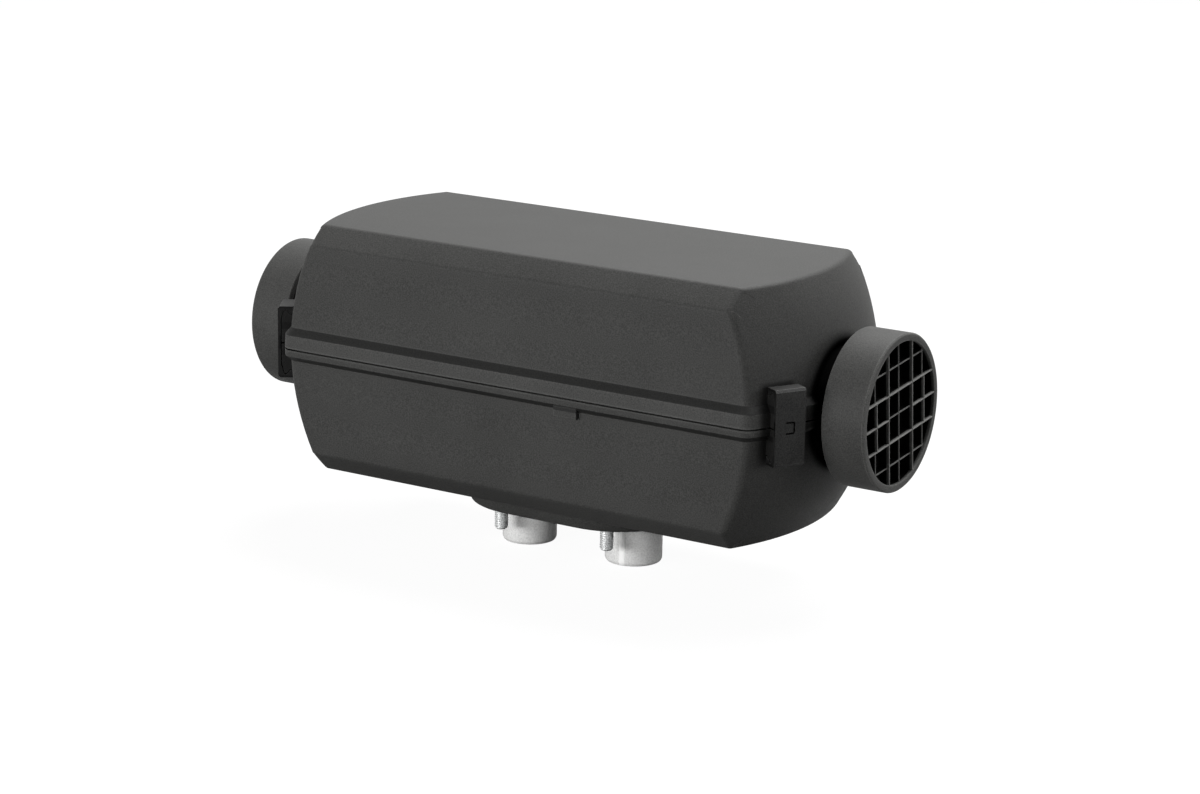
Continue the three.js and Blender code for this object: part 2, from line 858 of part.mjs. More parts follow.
// The blower housing: a cup towards the burner, with the front bearing's seat in its back wall.
function blowerHousing() {
  const cup = turned([
    [blowerBack, bearingRadius + gap],
    [blowerBack, exchangerFlange],
    [blowerX, exchangerFlange],
    [blowerX, blowerCavity],
    [blowerBack + blowerWall, blowerCavity],
    [blowerBack + blowerWall, bearingRadius + gap],
  ]);
  const bosses = sides.map((side) =>
    rodZ(earWidth / 2 - over, controlFloor, earBase - gap, earX, (side * earSpacing) / 2),
  );
  const holeEnd = earBase - controlScrewDepth;
  const holes = sides.map((side) =>
    rodZ(controlScrewRadius + gap, holeEnd, earBase + over, earX, (side * earSpacing) / 2, 16),
  );
  return cut(
    join(cup, ...bosses),
    rodX(blowerCavity, blowerBack + blowerWall, blowerX + over, 0, 0, 36),
    screwHoles(blowerBack - over, blowerX + over),
    airPort(blowerBack + blowerWall, blowerX + over),
    ...holes,
  );
}

function blowerScrew(turn) {
  const y = screwCircle * Math.cos(turn);
  const z = screwCircle * Math.sin(turn);
  const seat = blowerBack - gap;
  return join(
    rodX(screwRadius, seat - over, exchangerFace + screwReach, y, z, 12),
    rodX(screwHeadRadius, seat - screwHeadHeight, seat, y, z, 6),
  );
}

// The combustion-air impeller: a disc with straight blades on a hub.
function impeller() {
  const back = blowerBack + blowerWall + impellerRoom;
  const disc = tubeX(impellerRadius, shaftRadius + gap, back, back + impellerDisc, 36);
  const hub = tubeX(fanHub / 2, shaftRadius + gap, back, back + impellerWidth, 24);
  const blade = () => {
    const height = impellerRadius - fanHub;
    return new THREE.BoxGeometry(impellerWidth - over, impellerDisc, height).translate(
      back + (impellerWidth + over) / 2,
      0,
      fanHub + height / 2,
    );
  };
  return join(disc, hub, ringOf(impellerBlades, blade));
}

// ---------------------------------------------------------------- motor and fan

function motorCan() {
  const boss = bearingRadius + 2 * motorWall;
  return turned([
    [motorX, motorRadius - motorWall],
    [motorX, motorRadius],
    [motorBack, motorRadius],
    [motorBack, bearingRadius + gap],
    [motorBack + bearingWidth + bearingPlay, bearingRadius + gap],
    [motorBack + bearingWidth + bearingPlay, boss],
    [motorBack + motorWall, boss],
    [motorBack + motorWall, motorRadius - motorWall],
  ]);
}

const statorOuter = motorRadius - motorWall - gap;
const statorInner = statorOuter - statorThickness;
const rotorMiddle = (motorX + motorBack) / 2;

function motorStator() {
  const half = rotorLength / 2;
  return tubeX(statorOuter, statorInner, rotorMiddle - half, rotorMiddle + half, 32);
}

// The rotor, with a sleeve that reaches the bearings on both sides.
function motorRotor() {
  const drum = tubeX(
    statorInner - 2 * gap,
    rotorSleeve - over,
    rotorMiddle - rotorLength / 2,
    rotorMiddle + rotorLength / 2,
    32,
  );
  const sleeve = tubeX(
    rotorSleeve,
    shaftRadius + gap,
    motorBack + bearingWidth + gap,
    blowerBack - gap,
    24,
  );
  return join(drum, sleeve);
}

function bearing(x) {
  return tubeX(bearingRadius, shaftRadius + runningGap, x, x + bearingWidth, 24);
}

function shaft() {
  return rodX(shaftRadius, -shaftEnd, blowerX - impellerRoom, 0, 0, 24);
}

// The push-on washer that holds the fan on the shaft's end.
function fanWasher() {
  const front = fanBack - gap;
  return turned(
    [
      [front, shaftRadius + gap],
      [front, washerRadius],
      [front - washerRim, washerRadius],
      [front - washerThickness, shaftRadius + gap + over],
      [front - washerThickness, shaftRadius + gap],
    ],
    16,
  );
}

// The hot-air fan: twisted blades on a hub at the intake end.
function fanWheel() {
  const back = fanBack;
  const hub = turned([
    [back, shaftRadius + gap],
    [back, fanHub - fanHubChamfer],
    [back + fanHubChamfer, fanHub],
    [back + fanWidth, fanHub],
    [back + fanWidth, shaftRadius + gap],
  ]);
  const span = fanRadius - fanHub + over;
  const blade = () =>
    new THREE.BoxGeometry(fanWidth + 2 * over, fanBladeThickness, span)
      .rotateZ(THREE.MathUtils.degToRad(fanBladePitch))
      .translate(back + fanWidth / 2 + over, 0, fanRadius - span / 2);
  return join(hub, ringOf(fanBlades, blade));
}

// ---------------------------------------------------------------- control unit

const controlFront = motorX - controlRoom;
const controlBack = controlFront - controlLength;
const earX = controlFront + earLength / 2 + over;

function controlTray() {
  const half = controlWidth / 2;
  const top = controlFloor + controlHeight;
  const tray = cut(
    block([controlBack, -half, controlFloor], [controlFront, half, top]),
    block(
      [controlBack + controlWall, controlWall - half, controlFloor + controlWall],
      [controlFront - controlWall, half - controlWall, top + over],
    ),
  );
  const ears = sides.map((side) => {
    const y = (side * earSpacing) / 2;
    const ear = block(
      [controlFront - over, y - earWidth / 2, earBase],
      [controlFront + earLength, y + earWidth / 2, top],
    );
    return cut(ear, rodZ(controlScrewRadius + gap, earBase - over, top + over, earX, y, 16));
  });
  return join(tray, ...ears);
}

function controlCover() {
  const half = controlWidth / 2;
  const low = controlFloor + controlHeight + gap;
  const inset = controlWall + gap;
  return join(
    block([controlBack, -half, low], [controlFront, half, low + controlLid]),
    block(
      [controlBack + inset, inset - half, low - controlTongue],
      [controlFront - inset, half - inset, low + over],
    ),
  );
}

// The circuit board with its processor, relay block, cable header and capacitor.
function controlBoard() {
  const inset = controlWall + passGap;
  const boardWidth = controlWidth - 2 * inset;
  const low = controlFloor + controlWall + boardRise;
  const top = low + boardThickness;
  const start = controlBack + inset;
  const end = controlFront - inset;
  const along = (share) => THREE.MathUtils.lerp(start, end, share);
  const parts = boardParts.map(({ from, across, length, width, height }) =>
    block(
      [along(from), (across - width / 2) * boardWidth, top - gap],
      [along(from + length), (across + width / 2) * boardWidth, top + height * controlHeight],
    ),
  );
  return join(block([start, -boardWidth / 2, low], [end, boardWidth / 2, top]), ...parts);
}

function controlScrew(side) {
  const y = (side * earSpacing) / 2;
  const seat = controlFloor + controlHeight + gap;
  return join(
    rodZ(controlScrewRadius, earBase - controlScrewDepth + gap, seat + over, earX, y, 16),
    rodZ(controlScrewHead, seat, seat + controlScrewHeadHeight, earX, y, 6),
  );
}

// ---------------------------------------------------------------- fuel pipe, sensor and gland

// The fuel pipe rises through the foot and bends round the exchanger to the burner head.
function fuelPipe() {
  const section = new THREE.Shape();
  section.absarc(0, 0, fuelPipeRadius, 0, 2 * Math.PI);
  const bore = new THREE.Path();
  bore.absarc(0, 0, fuelPipeBore, 0, 2 * Math.PI, true);
  section.holes.push(bore);
  const route = new THREE.CatmullRomCurve3([
    new THREE.Vector3(flangeShift, fuelPipeOffset, -fuelPipeDrop),
    new THREE.Vector3(flangeShift, fuelPipeOffset, -footDrop),
    new THREE.Vector3(flangeShift, fuelPipeOffset, fuelLevel - fuelBend),
    new THREE.Vector3(flangeShift - fuelBend, fuelPipeOffset, fuelLevel),
    new THREE.Vector3(fuelX + 2 * fuelBend, fuelPipeOffset, fuelLevel),
    fuelEntry(fuelApproach).setX(fuelX + fuelBend / 2),
    fuelEntry((burnerRadius + fuelApproach) / 2),
    fuelEntry(burnerRadius + over),
    fuelEntry(burnerRadius - fuelDepth + 2 * over),
  ]);
  return solid(
    new THREE.ExtrudeGeometry(section, {
      steps: 26,
      curveSegments: 3,
      bevelEnabled: false,
      extrudePath: route,
    }),
  );
}

function overheatSensor() {
  const low = sensorPadHeight + gap;
  const back = sensorMiddle - sensorLength / 2;
  const body = block(
    [back, -sensorWidth / 2, low],
    [back + sensorLength, sensorWidth / 2, low + sensorHeight],
  );
  const leadHeight = low + sensorHeight / 2;
  return join(
    body,
    rodX(sensorLeadRadius, back - sensorLeadLength, back + over, 0, leadHeight, 12),
  );
}

// Holes in the pad that the spring's legs drop into.
function springHoles() {
  const half = springLength / 2;
  const depth = sensorPadHeight - springLeg;
  const holes = sides.map((side) => {
    const x = sensorMiddle + side * (half - springThickness / 2);
    const reach = springThickness / 2 + gap;
    const y = springWidth / 2 + gap;
    return block([x - reach, -y, depth - gap], [x + reach, y, sensorPadHeight + over]);
  });
  return join(...holes);
}

// A bent strip that presses the sensor on its pad. Its cable end passes under the strip.
function sensorSpring() {
  const half = springLength / 2;
  const low = sensorPadHeight - springLeg;
  const top = sensorPadHeight + sensorHeight + 2 * gap;
  const crown = top + springThickness;
  const width = springWidth / 2;
  const strip = block([sensorMiddle - half, -width, top], [sensorMiddle + half, width, crown]);
  const legs = sides.map((side) => {
    const outer = sensorMiddle + side * half;
    const inner = outer - side * springThickness;
    const ends = [outer, inner].sort((a, b) => a - b);
    return block([ends[0], -width, low], [ends[1], width, crown]);
  });
  const way = sensorLeadRadius + passGap;
  const cableWay = block(
    [sensorMiddle - half - over, -way, sensorPadHeight],
    [sensorMiddle - half + over, way, sensorPadHeight + sensorHeight],
  );
  return cut(join(strip, ...legs), cableWay);
}

// The rubber gland in the lower shell's rear wall, a groove between two flanges.
function cableGland() {
  const wall = wallHalfWidth - wallDraft * glandDrop;
  const play = gap + wallDraft * glandRadius;
  const groove = glandRadius - gap;
  const inner = wall - shellThickness - play;
  const outer = wall + play;
  const flange = glandRadius + glandFlange;
  const profile = [
    [glandBore, inner - glandFlangeThickness],
    [flange, inner - glandFlangeThickness],
    [flange, inner],
    [groove, inner],
    [groove, outer],
    [flange, outer],
    [flange - glandChamfer, outer + glandFlangeThickness],
    [glandBore + glandSleeveWall, outer + glandFlangeThickness + glandSleeve],
    [glandBore, outer + glandFlangeThickness + glandSleeve],
    [glandBore, inner - glandFlangeThickness],
  ].map(([radius, y]) => new THREE.Vector2(radius, y));
  return solid(new THREE.LatheGeometry(profile, 24).translate(glandX, 0, -glandDrop));
}

// ---------------------------------------------------------------- materials and assembly

const finish = (color, roughness, metalness) =>
  new THREE.MeshStandardMaterial({ color, roughness, metalness });
const materials = {
  casing: () => finish(0x3d3d3c, 0.62, 0),
  clip: () => finish(0x333332, 0.5, 0),
  aluminium: () => finish(0xd2d3d2, 0.42, 1),
  steel: () => finish(0xa9abad, 0.35, 1),
  darkSteel: () => finish(0x55575a, 0.45, 1),
  brass: () => finish(0xb08d4c, 0.35, 1),
  rubber: () => finish(0x1b1b1b, 0.85, 0),
  gasket: () => finish(0x6b6d68, 0.9, 0),
  felt: () => finish(0xcfc9bb, 0.95, 0),
  fan: () => finish(0x232426, 0.5, 0),
  board: () => finish(0x1f5a34, 0.5, 0),
};

const heater = new THREE.Group();
heater.position.set(-flangeShift, 0, flangeDrop);

// Adds a solid to a group as a named mesh.
function add(group, name, material, body) {
  const source = body.getMesh();
  const geometry = new THREE.BufferGeometry();
  geometry.setAttribute("position", new THREE.BufferAttribute(source.vertProperties, 3));
  geometry.setIndex(new THREE.BufferAttribute(source.triVerts, 1));
  geometry.computeVertexNormals();
  const mesh = new THREE.Mesh(geometry, material());
  mesh.name = name;
  group.add(mesh);
}

add(heater, "upper_casing", materials.casing, upperCasing());
add(heater, "lower_casing", materials.casing, lowerCasing());

const ring = ductRing();
const intakeEnd = new THREE.Group();
intakeEnd.rotation.z = Math.PI;
heater.add(intakeEnd);
const clocked = THREE.MathUtils.degToRad(grilleClocking);
for (const [name, end] of [["outlet_ring", heater], ["intake_ring", intakeEnd]]) {
  const turn = new THREE.Group();
  turn.rotation.x = clocked;
  end.add(turn);
  add(turn, name, materials.casing, ring);
}

const clip = casingClip();
for (const place of clipPlaces) {
  const holder = new THREE.Group();
  holder.applyMatrix4(clipMatrix(place));
  heater.add(holder);
  add(holder, "clip_" + place.name, materials.clip, clip);
}

add(heater, "heat_exchanger", materials.aluminium, heatExchanger());
add(heater, "flange_gasket", materials.gasket, flangeGasket());
studPlaces.forEach((place, i) => {
  add(heater, "mounting_stud_" + (i + 1), materials.steel, mountingStud(place));
});

const burnerSheet = stackGasket(burnerGasketX, burnerRadius, flameTubeRadius + gasketLap);
add(heater, "burner_gasket", materials.gasket, burnerSheet);
add(heater, "burner", materials.darkSteel, burner());
add(heater, "evaporator_mat", materials.felt, evaporatorMat());
add(heater, "glow_plug", materials.steel, glowPlug());
const blowerSheet = stackGasket(blowerGasketX, burnerRadius, blowerCavity - 2 * gasketLap);
add(heater, "blower_gasket", materials.gasket, blowerSheet);
add(heater, "blower_housing", materials.aluminium, blowerHousing());
screwAngles.forEach((turn, i) => {
  add(heater, "blower_screw_" + (i + 1), materials.steel, blowerScrew(turn));
});

add(heater, "motor_can", materials.darkSteel, motorCan());
add(heater, "motor_stator", materials.darkSteel, motorStator());
add(heater, "front_bearing", materials.brass, bearing(blowerBack));
add(heater, "rear_bearing", materials.brass, bearing(motorBack));
add(heater, "fan_shaft", materials.steel, shaft());
add(heater, "motor_rotor", materials.darkSteel, motorRotor());
add(heater, "combustion_impeller", materials.fan, impeller());
add(heater, "hot_air_fan", materials.fan, fanWheel());
add(heater, "fan_washer", materials.steel, fanWasher());

add(heater, "control_tray", materials.fan, controlTray());
add(heater, "control_cover", materials.fan, controlCover());
add(heater, "control_board", materials.board, controlBoard());
sides.forEach((side, i) => {
  add(heater, "control_screw_" + (i + 1), materials.steel, controlScrew(side));
});

add(heater, "fuel_pipe", materials.steel, fuelPipe());
add(heater, "overheat_sensor", materials.brass, overheatSensor());
add(heater, "sensor_spring", materials.steel, sensorSpring());
add(heater, "cable_gland", materials.rubber, cableGland());

export default heater;
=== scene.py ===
"""Looks of a diesel air heater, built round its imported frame.

Sizes below are in millimetres in the casing's own frame: X along the duct axis, -Y the side that
faces the camera, and the origin in the middle of the casing, on the duct axis.
"""

import json
import math
from functools import partial

import bmesh
import bpy
from mathutils import Matrix, Vector

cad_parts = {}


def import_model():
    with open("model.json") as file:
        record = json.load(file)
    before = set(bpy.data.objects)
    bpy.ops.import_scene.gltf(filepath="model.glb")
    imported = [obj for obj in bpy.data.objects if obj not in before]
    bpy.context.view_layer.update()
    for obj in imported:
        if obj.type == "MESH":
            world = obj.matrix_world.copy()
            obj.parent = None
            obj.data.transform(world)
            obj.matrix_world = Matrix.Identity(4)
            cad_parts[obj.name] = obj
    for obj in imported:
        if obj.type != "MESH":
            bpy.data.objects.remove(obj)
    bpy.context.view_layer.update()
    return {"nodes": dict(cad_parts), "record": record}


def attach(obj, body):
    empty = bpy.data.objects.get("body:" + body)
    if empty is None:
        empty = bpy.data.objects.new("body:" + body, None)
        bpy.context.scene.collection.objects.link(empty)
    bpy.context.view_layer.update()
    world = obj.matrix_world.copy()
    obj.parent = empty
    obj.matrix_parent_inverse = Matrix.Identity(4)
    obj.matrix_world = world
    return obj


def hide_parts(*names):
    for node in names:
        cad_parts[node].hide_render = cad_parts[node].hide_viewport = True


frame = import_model()

# --- sizes

MM = 0.001
ORIGIN = Vector((1.3, 0.0, -65.8))  # the frame's origin, under the flange gasket
CLEARANCE = 0.3
BEVEL_SMOOTHNESS = 13.0  # degrees

CASING_TOP = 54.1
CASING_BOTTOM = 55.9
WALL_HALF_WIDTH = 56.9
WALL_DRAFT = 0.03
FACE_HALF_WIDTH = 46.6
END_REACH = 131.0
END_RADIUS_ACROSS = 108.0
END_RADIUS_UP = 100.0
SHELL_THICKNESS = 2.2
SEAM = -0.8
SEAM_GAP = 0.6
SEAM_CHAMFER = 0.2
RIM_PROUD = 2.5
RIM_ABOVE = 6.4
RIM_BELOW = 3.2
RIM_SLOPE_ABOVE = 2.9
RIM_SLOPE_BELOW = 2.2
RIM_SOFTNESS = 0.5
TOP_EDGE_RADIUS = 3.0
CREASE_RADIUS = 3.0
CREASE_LIFT = 0.8
CORNER_RADIUS = 4.0
END_EDGE_RADIUS = 3.0
OPENING_RADIUS = 25.6
OPENING_ROLL = 1.0
STRAIGHT_HEIGHT = 12.0
FAR = 200.0  # beyond every part of the casing
CORNER_BLEND_START = 40.0
CORNER_BLEND_END = 52.0

RING_RADIUS = 33.3
RING_BORE = 29.95
RING_FRONT = 155.3
RING_BACK = 136.0
NECK_RADIUS = 24.4
NECK_BORE = 22.6
COLLAR_RADIUS = 31.0
COLLAR_FRONT = 123.4
COLLAR_BACK = 121.4
GRILLE_PITCH = 10.35
GRILLE_WIDTH = 0.6
GRILLE_DEPTH = 5.0
GRILLE_STEP = 1.0
GRILLE_TURN = 5.3

CLIP_X = 129.1
CLIP_Y = 46.0
CLIP_Z = -0.4
CLIP_YAW = 31.0
CLIP_LENGTH = 14.0
CLIP_HEIGHT = 32.2
CLIP_DEPTH = 6.8
CLIP_PLATE = 1.3
TONGUE_START = -2.0
TONGUE_END = 2.2
TONGUE_HALF = 2.65
TONGUE_SLOT = 0.75

LUG_LENGTH = 11.5
LUG_DEPTH = 9.4
LUG_PROUD = 1.9
LUG_CENTRE = 29.3

FLANGE_SHIFT = 1.3
BOSS_DROP = 65.0
BOSS_RADIUS = 33.3
BOSS_SPACING = 37.0
BOSS_WALL = 2.6
BOSS_DRAFT = 3.0
FOOT_DROP = 63.3
GASKET_DROP = 65.8
FOOT_INSET = 3.2

EXHAUST_X = 28.4
EXHAUST_RADIUS = 12.5
AIR_X = -25.8
AIR_RADIUS = 12.0
STUB_BORE = 9.5
STUB_DROP = 85.5

STUD_RADIUS = 3.0
STUD_PITCH = 1.0
STUD_DROP = 75.7
STUD_TOP = -51.3
STUD_ALONG = 27.2
STUD_ACROSS = 22.5

RAIL_HALF_HEIGHT = 14.4
RAIL_NECK_HALF = 12.3
RAIL_LOBE = 3.3
RAIL_NECK = 5.7

LIP_LOW = -6.0
LIP_HIGH = 2.6
LIP_THICKNESS = 1.2
COLLAR_ROOM = 32.0

GLAND_X = -75.0
GLAND_DROP = 20.0
GLAND_RADIUS = 8.0

CORE_RADIUS = 36.0
CORE_START = -36.0
CORE_END = 96.0
CORE_FLANGE = 44.0
FLANGE_THICKNESS = 7.0
FIN_TIP = 46.0
FIN_COUNT = 20
FIN_START = -22.0
PAD_MIDDLE = 62.0
PAD_HALF = 14.0
PAD_HEIGHT = 42.0
PAD_HALF_WIDTH = 10.0
FOOT_PLATE = 8.0
NECK_HALF_LENGTH = 36.0
NECK_HALF_WIDTH = 16.0

FUEL_RADIUS = 2.0
FUEL_BORE = 1.0
FUEL_OFFSET = 24.0
FUEL_DROP = 83.5
FUEL_BEND = 6.0
FUEL_X = -41.6
FUEL_LEVEL = -49.2
BURNER_RADIUS = 43.0

SHAFT_RADIUS = 2.5
FAN_RADIUS = 40.0
FAN_HUB = 13.0
FAN_WIDTH = 12.0
FAN_BACK = -115.0
FAN_BLADES = 9
FAN_PITCH = 38.0

# Tones multiply a material's colour, and the other values place them. Most of them paint light and shade
# into the colour.
# painted shade on the rim's two slopes
SLOPE_SHADE_TONE = 0.38
# painted light on the rim's band above the seam
BAND_LIGHT_TONE = 1.22
# painted shade in the duct opening and inside the ring's bore, where the shine is taken away too
RECESS_SHADE_TONE = 0.05
RECESS_START = 1.6
OPENING_SHADE = 4.0
# painted light: the rings lighter than the casing, their front faces lighter still, and painted highlights
# on the grille bars
RING_LIGHT_TONE = 1.15
RING_FACE_LIGHT_TONE = 1.6
GRILLE_HIGHLIGHT_TONE = 2.0
# painted shadow on the casing round each clip
CLIP_SHADOW_SPREAD = 3.5
CLIP_SHADOW_TONE = 0.15
# painted shade on the clips' ends, top chamfers and tongue slots
CLIP_END_SHADE_TONE = 0.2
CLIP_CHAMFER_SHADE_TONE = 0.25
CLIP_SLOT_SHADE_TONE = 0.02
SLOT_SHADE = 0.3
# painted highlights along the sharp edges of the casing, rings and clips
EDGE_HIGHLIGHT_TONE = 1.6
EDGE_WIDTH = 1.3
CLIP_EDGE_HIGHLIGHT_TONE = 4.5
CLIP_EDGE_WIDTH = 0.4
EDGE_SAMPLES = 6
# a lighter stripe down the exhaust stub's front: its parting line, with a painted highlight along it
PARTING_X = 1.5
PARTING_HALF = 0.9
PARTING_HIGHLIGHT_TONE = 1.35
CAST_METALLIC = 0.05
PLASTIC_SPECULAR = 0.12
CLOUD_SHARE = 0.35
SPECKLE_SHARE = 0.8

# The camera, as fitted to the photograph.
CAMERA_AZIMUTH = 32.1
CAMERA_ELEVATION = 14.701
CAMERA_ROLL = 0.996
CAMERA_DISTANCE = 1410.86
CAMERA_ACROSS = 8.256
CAMERA_UP = -16.456
CAMERA_LENS = 97.648
SENSOR_WIDTH = 36.0

FLOOR_LEVEL = (-STUB_DROP - ORIGIN.z - CLEARANCE) * MM
FLOOR_GLOW = 1.06
FLOOR_SHARE = 0.9
FLOOR_BOUNCE = 0.12
FLOOR_MIRROR = 0.28
AMBIENT = 0.03
FLOOR_TINT = 0.8

# The lights' names, places, sizes and powers, in metres and watts.
LIGHT_TARGET = (0, 0, 0.06)
LIGHTS = (
    ("front_left", (-0.6, -1.9, 0.38), (1.5, 0.5), 33.5),
    ("right", (1.9, 0.35, 0.5), (1.0, 0.4), 7.5),
    ("overhead_back", (0.1, 0.8, 1.5), (1.8, 1.0), 50),
)


# --- mesh helpers

def put(point):
    """A point in millimetres in the casing's frame, as metres in the row's frame."""
    return (Vector(point) - ORIGIN) * MM


def linked(name, data):
    """A new object of the scene."""
    made = bpy.data.objects.new(name, data)
    bpy.context.scene.collection.objects.link(made)
    return made


def mesh_object(name, points, faces, smooth_angle=35.0):
    mesh = bpy.data.meshes.new(name)
    mesh.from_pydata([put(p) for p in points], [], faces)
    bm = bmesh.new()
    bm.from_mesh(mesh)
    bmesh.ops.remove_doubles(bm, verts=bm.verts, dist=1e-6)
    bmesh.ops.recalc_face_normals(bm, faces=bm.faces)
    bm.to_mesh(mesh)
    bm.free()
    obj = linked(name, mesh)
    shade(obj, smooth_angle)
    return obj


def grid_faces(rows, count, around=True, along=True):
    """Faces between rows of points; around closes each row, along joins the last to the first."""
    faces = []
    for i in range(rows if along else rows - 1):
        j = (i + 1) % rows
        for k in range(count if around else count - 1):
            m = (k + 1) % count
            faces.append((i * count + k, i * count + m, j * count + m, j * count + k))
    return faces


def grid(name, rows, around=True, along=True, smooth_angle=35.0):
    """A surface through rows of points."""
    faces = grid_faces(len(rows), len(rows[0]), around, along)
    return mesh_object(name, [p for row in rows for p in row], faces, smooth_angle)


def moved(obj, matrix):
    """Moves a mesh by a matrix about the casing's middle."""
    centre = put((0, 0, 0))
    obj.data.transform(Matrix.Translation(centre) @ matrix @ Matrix.Translation(-centre))


def shade(obj, angle=35.0):
    """Smooth shading, with the edges sharper than the angle left sharp."""
    mesh = obj.data
    mesh.polygons.foreach_set("use_smooth", [True] * len(mesh.polygons))
    bm = bmesh.new()
    bm.from_mesh(mesh)
    limit = math.radians(angle)
    for edge in bm.edges:
        edge.smooth = len(edge.link_faces) == 2 and edge.calc_face_angle(0.0) < limit
    bm.to_mesh(mesh)
    bm.free()
    mesh.update()


def apply_modifiers(obj):
    graph = bpy.context.evaluated_depsgraph_get()
    mesh = bpy.data.meshes.new_from_object(obj.evaluated_get(graph))
    old = obj.data
    obj.modifiers.clear()
    obj.data = mesh
    bpy.data.meshes.remove(old)
    return obj


def thicken(obj, thickness, offset):
    modifier = obj.modifiers.new("thickness", "SOLIDIFY")
    modifier.thickness = thickness * MM
    modifier.offset = offset
    return apply_modifiers(obj)


def boolean(obj, tool, operation="DIFFERENCE"):
    modifier = obj.modifiers.new("boolean", "BOOLEAN")
    modifier.operation = operation
    modifier.solver = "EXACT"
    modifier.object = tool
    apply_modifiers(obj)
    bpy.data.objects.remove(tool)
    return obj


def join(name, objects):
    """One object from several, each with its own sharp edges."""
    bm = bmesh.new()
    for obj in objects:
        bm.from_mesh(obj.data)
    mesh = bpy.data.meshes.new(name)
    bm.to_mesh(mesh)
    bm.free()
    for obj in objects:
        bpy.data.objects.remove(obj)
    return linked(name, mesh)


def bevel(obj, width, segments=3, angle=30.0):
    """Rounds the edges sharper than the angle; the flat faces between them stay flat."""
    modifier = obj.modifiers.new("bevel", "BEVEL")
    modifier.width = width * MM
    modifier.segments = segments
    modifier.limit_method = "ANGLE"
    modifier.angle_limit = math.radians(angle)
    modifier.harden_normals = False
    modifier.miter_outer = "MITER_ARC"
    apply_modifiers(obj)
    shade(obj, BEVEL_SMOOTHNESS)
    return obj


def rounded(corners, arc_steps=5, spacing=8.0):
    """Points of a line through [y, z, radius] corners, with arcs at the corners."""
    points = [Vector(corners[0][:2])]
    for before, corner, after in zip(corners, corners[1:], corners[2:]):
        middle = Vector(corner[:2])
        u = (Vector(before[:2]) - middle).normalized()
        v = (Vector(after[:2]) - middle).normalized()
        radius = corner[2]
        if radius <= 0:
            points.append(middle)
            continue
        half = u.angle(v) / 2
        start = middle + u * radius / math.tan(half)
        centre = middle + (u + v).normalized() * radius / math.sin(half)
        a = start - centre
        b = middle + v * radius / math.tan(half) - centre
        turn = a.angle_signed(b)
        for i in range(arc_steps + 1):
            angle = -turn * i / arc_steps
            c, s = math.cos(angle), math.sin(angle)
            points.append(centre + Vector((a.x * c - a.y * s, a.x * s + a.y * c)))
    points.append(Vector(corners[-1][:2]))
    dense = [points[0]]
    for a, b in zip(points, points[1:]):
        parts = max(1, math.ceil((b - a).length / spacing))
        dense += [a.lerp(b, (i + 1) / parts) for i in range(parts)]
    return dense


def turned(start, radius, turn):
    """A point's two coordinates round an axis."""
    return start[0] + radius * math.cos(turn), start[1] + radius * math.sin(turn)


def full_turn(steps):
    return [2 * math.pi * i / steps for i in range(steps)]


def revolved(name, profile, segments=128, smooth_angle=35.0):
    """A solid of revolution round X from [x, radius] points."""
    axis = (0.0, 0.0)
    rows = [[(x, *turned(axis, r, turn)) for x, r in profile] for turn in full_turn(segments)]
    return grid(name, rows, smooth_angle=smooth_angle)


def upright(name, profile, centre, segments=96, smooth_angle=35.0):
    """A solid of revolution round a vertical axis from [radius, z] points."""
    rows = [[(*turned(centre, r, turn), z) for r, z in profile] for turn in full_turn(segments)]
    return grid(name, rows, smooth_angle=smooth_angle)


def prism(name, outline, low, high, axis="Z", matrix=None):
    """A closed outline of (a, b) points, extruded along an axis between two places."""
    place = {
        "X": lambda a, b, c: (c, a, b),
        "Y": lambda a, b, c: (a, c, b),
        "Z": lambda a, b, c: (a, b, c),
    }[axis]
    points = [place(a, b, low) for a, b in outline] + [place(a, b, high) for a, b in outline]
    if matrix is not None:
        points = [matrix @ Vector(p) for p in points]
    n = len(outline)
    faces = [tuple(range(n)), tuple(range(n, 2 * n))]
    faces += [(i, (i + 1) % n, (i + 1) % n + n, i + n) for i in range(n)]
    return mesh_object(name, points, faces)


def brick(name, low, high):
    (x0, y0, z0), (x1, y1, z1) = low, high
    return prism(name, [(x0, y0), (x1, y0), (x1, y1), (x0, y1)], z0, z1)


def circle(radius, steps=48, centre=(0.0, 0.0)):
    return [turned(centre, radius, turn) for turn in full_turn(steps)]


def oval(inset, steps=32):
    """The mounting boss's outline: two half circles joined by straight sides."""
    radius = BOSS_RADIUS - inset
    points = []
    for side in (1, -1):
        for i in range(steps + 1):
            a, b = turned((BOSS_SPACING / 2, 0.0), radius, math.pi * (i / steps - 0.5))
            points.append((FLANGE_SHIFT + side * a, side * b))
    return points


# --- materials

def principled(made):
    return made.node_tree.nodes["Principled BSDF"]


def material(name, slot_color, roughness, metallic=0.0, specular=0.5):
    made = bpy.data.materials.new(name)
    made.use_nodes = True
    inputs = principled(made).inputs
    inputs["Base Color"].default_value = (*slot_color, 1)
    inputs["Roughness"].default_value = roughness
    inputs["Metallic"].default_value = metallic
    inputs["Specular IOR Level"].default_value = specular
    return made


def node(made, kind, **values):
    new = made.node_tree.nodes.new(kind)
    for key, value in values.items():
        if key in new.inputs:
            new.inputs[key].default_value = value
        else:
            setattr(new, key, value)
    return new


def link(made, source, target):
    made.node_tree.links.new(source, target)


def math_node(made, operation, *values):
    new = node(made, "ShaderNodeMath", operation=operation)
    for socket, value in zip(new.inputs, values):
        if isinstance(value, float):
            socket.default_value = value
        else:
            link(made, value, socket)
    return new.outputs[0]


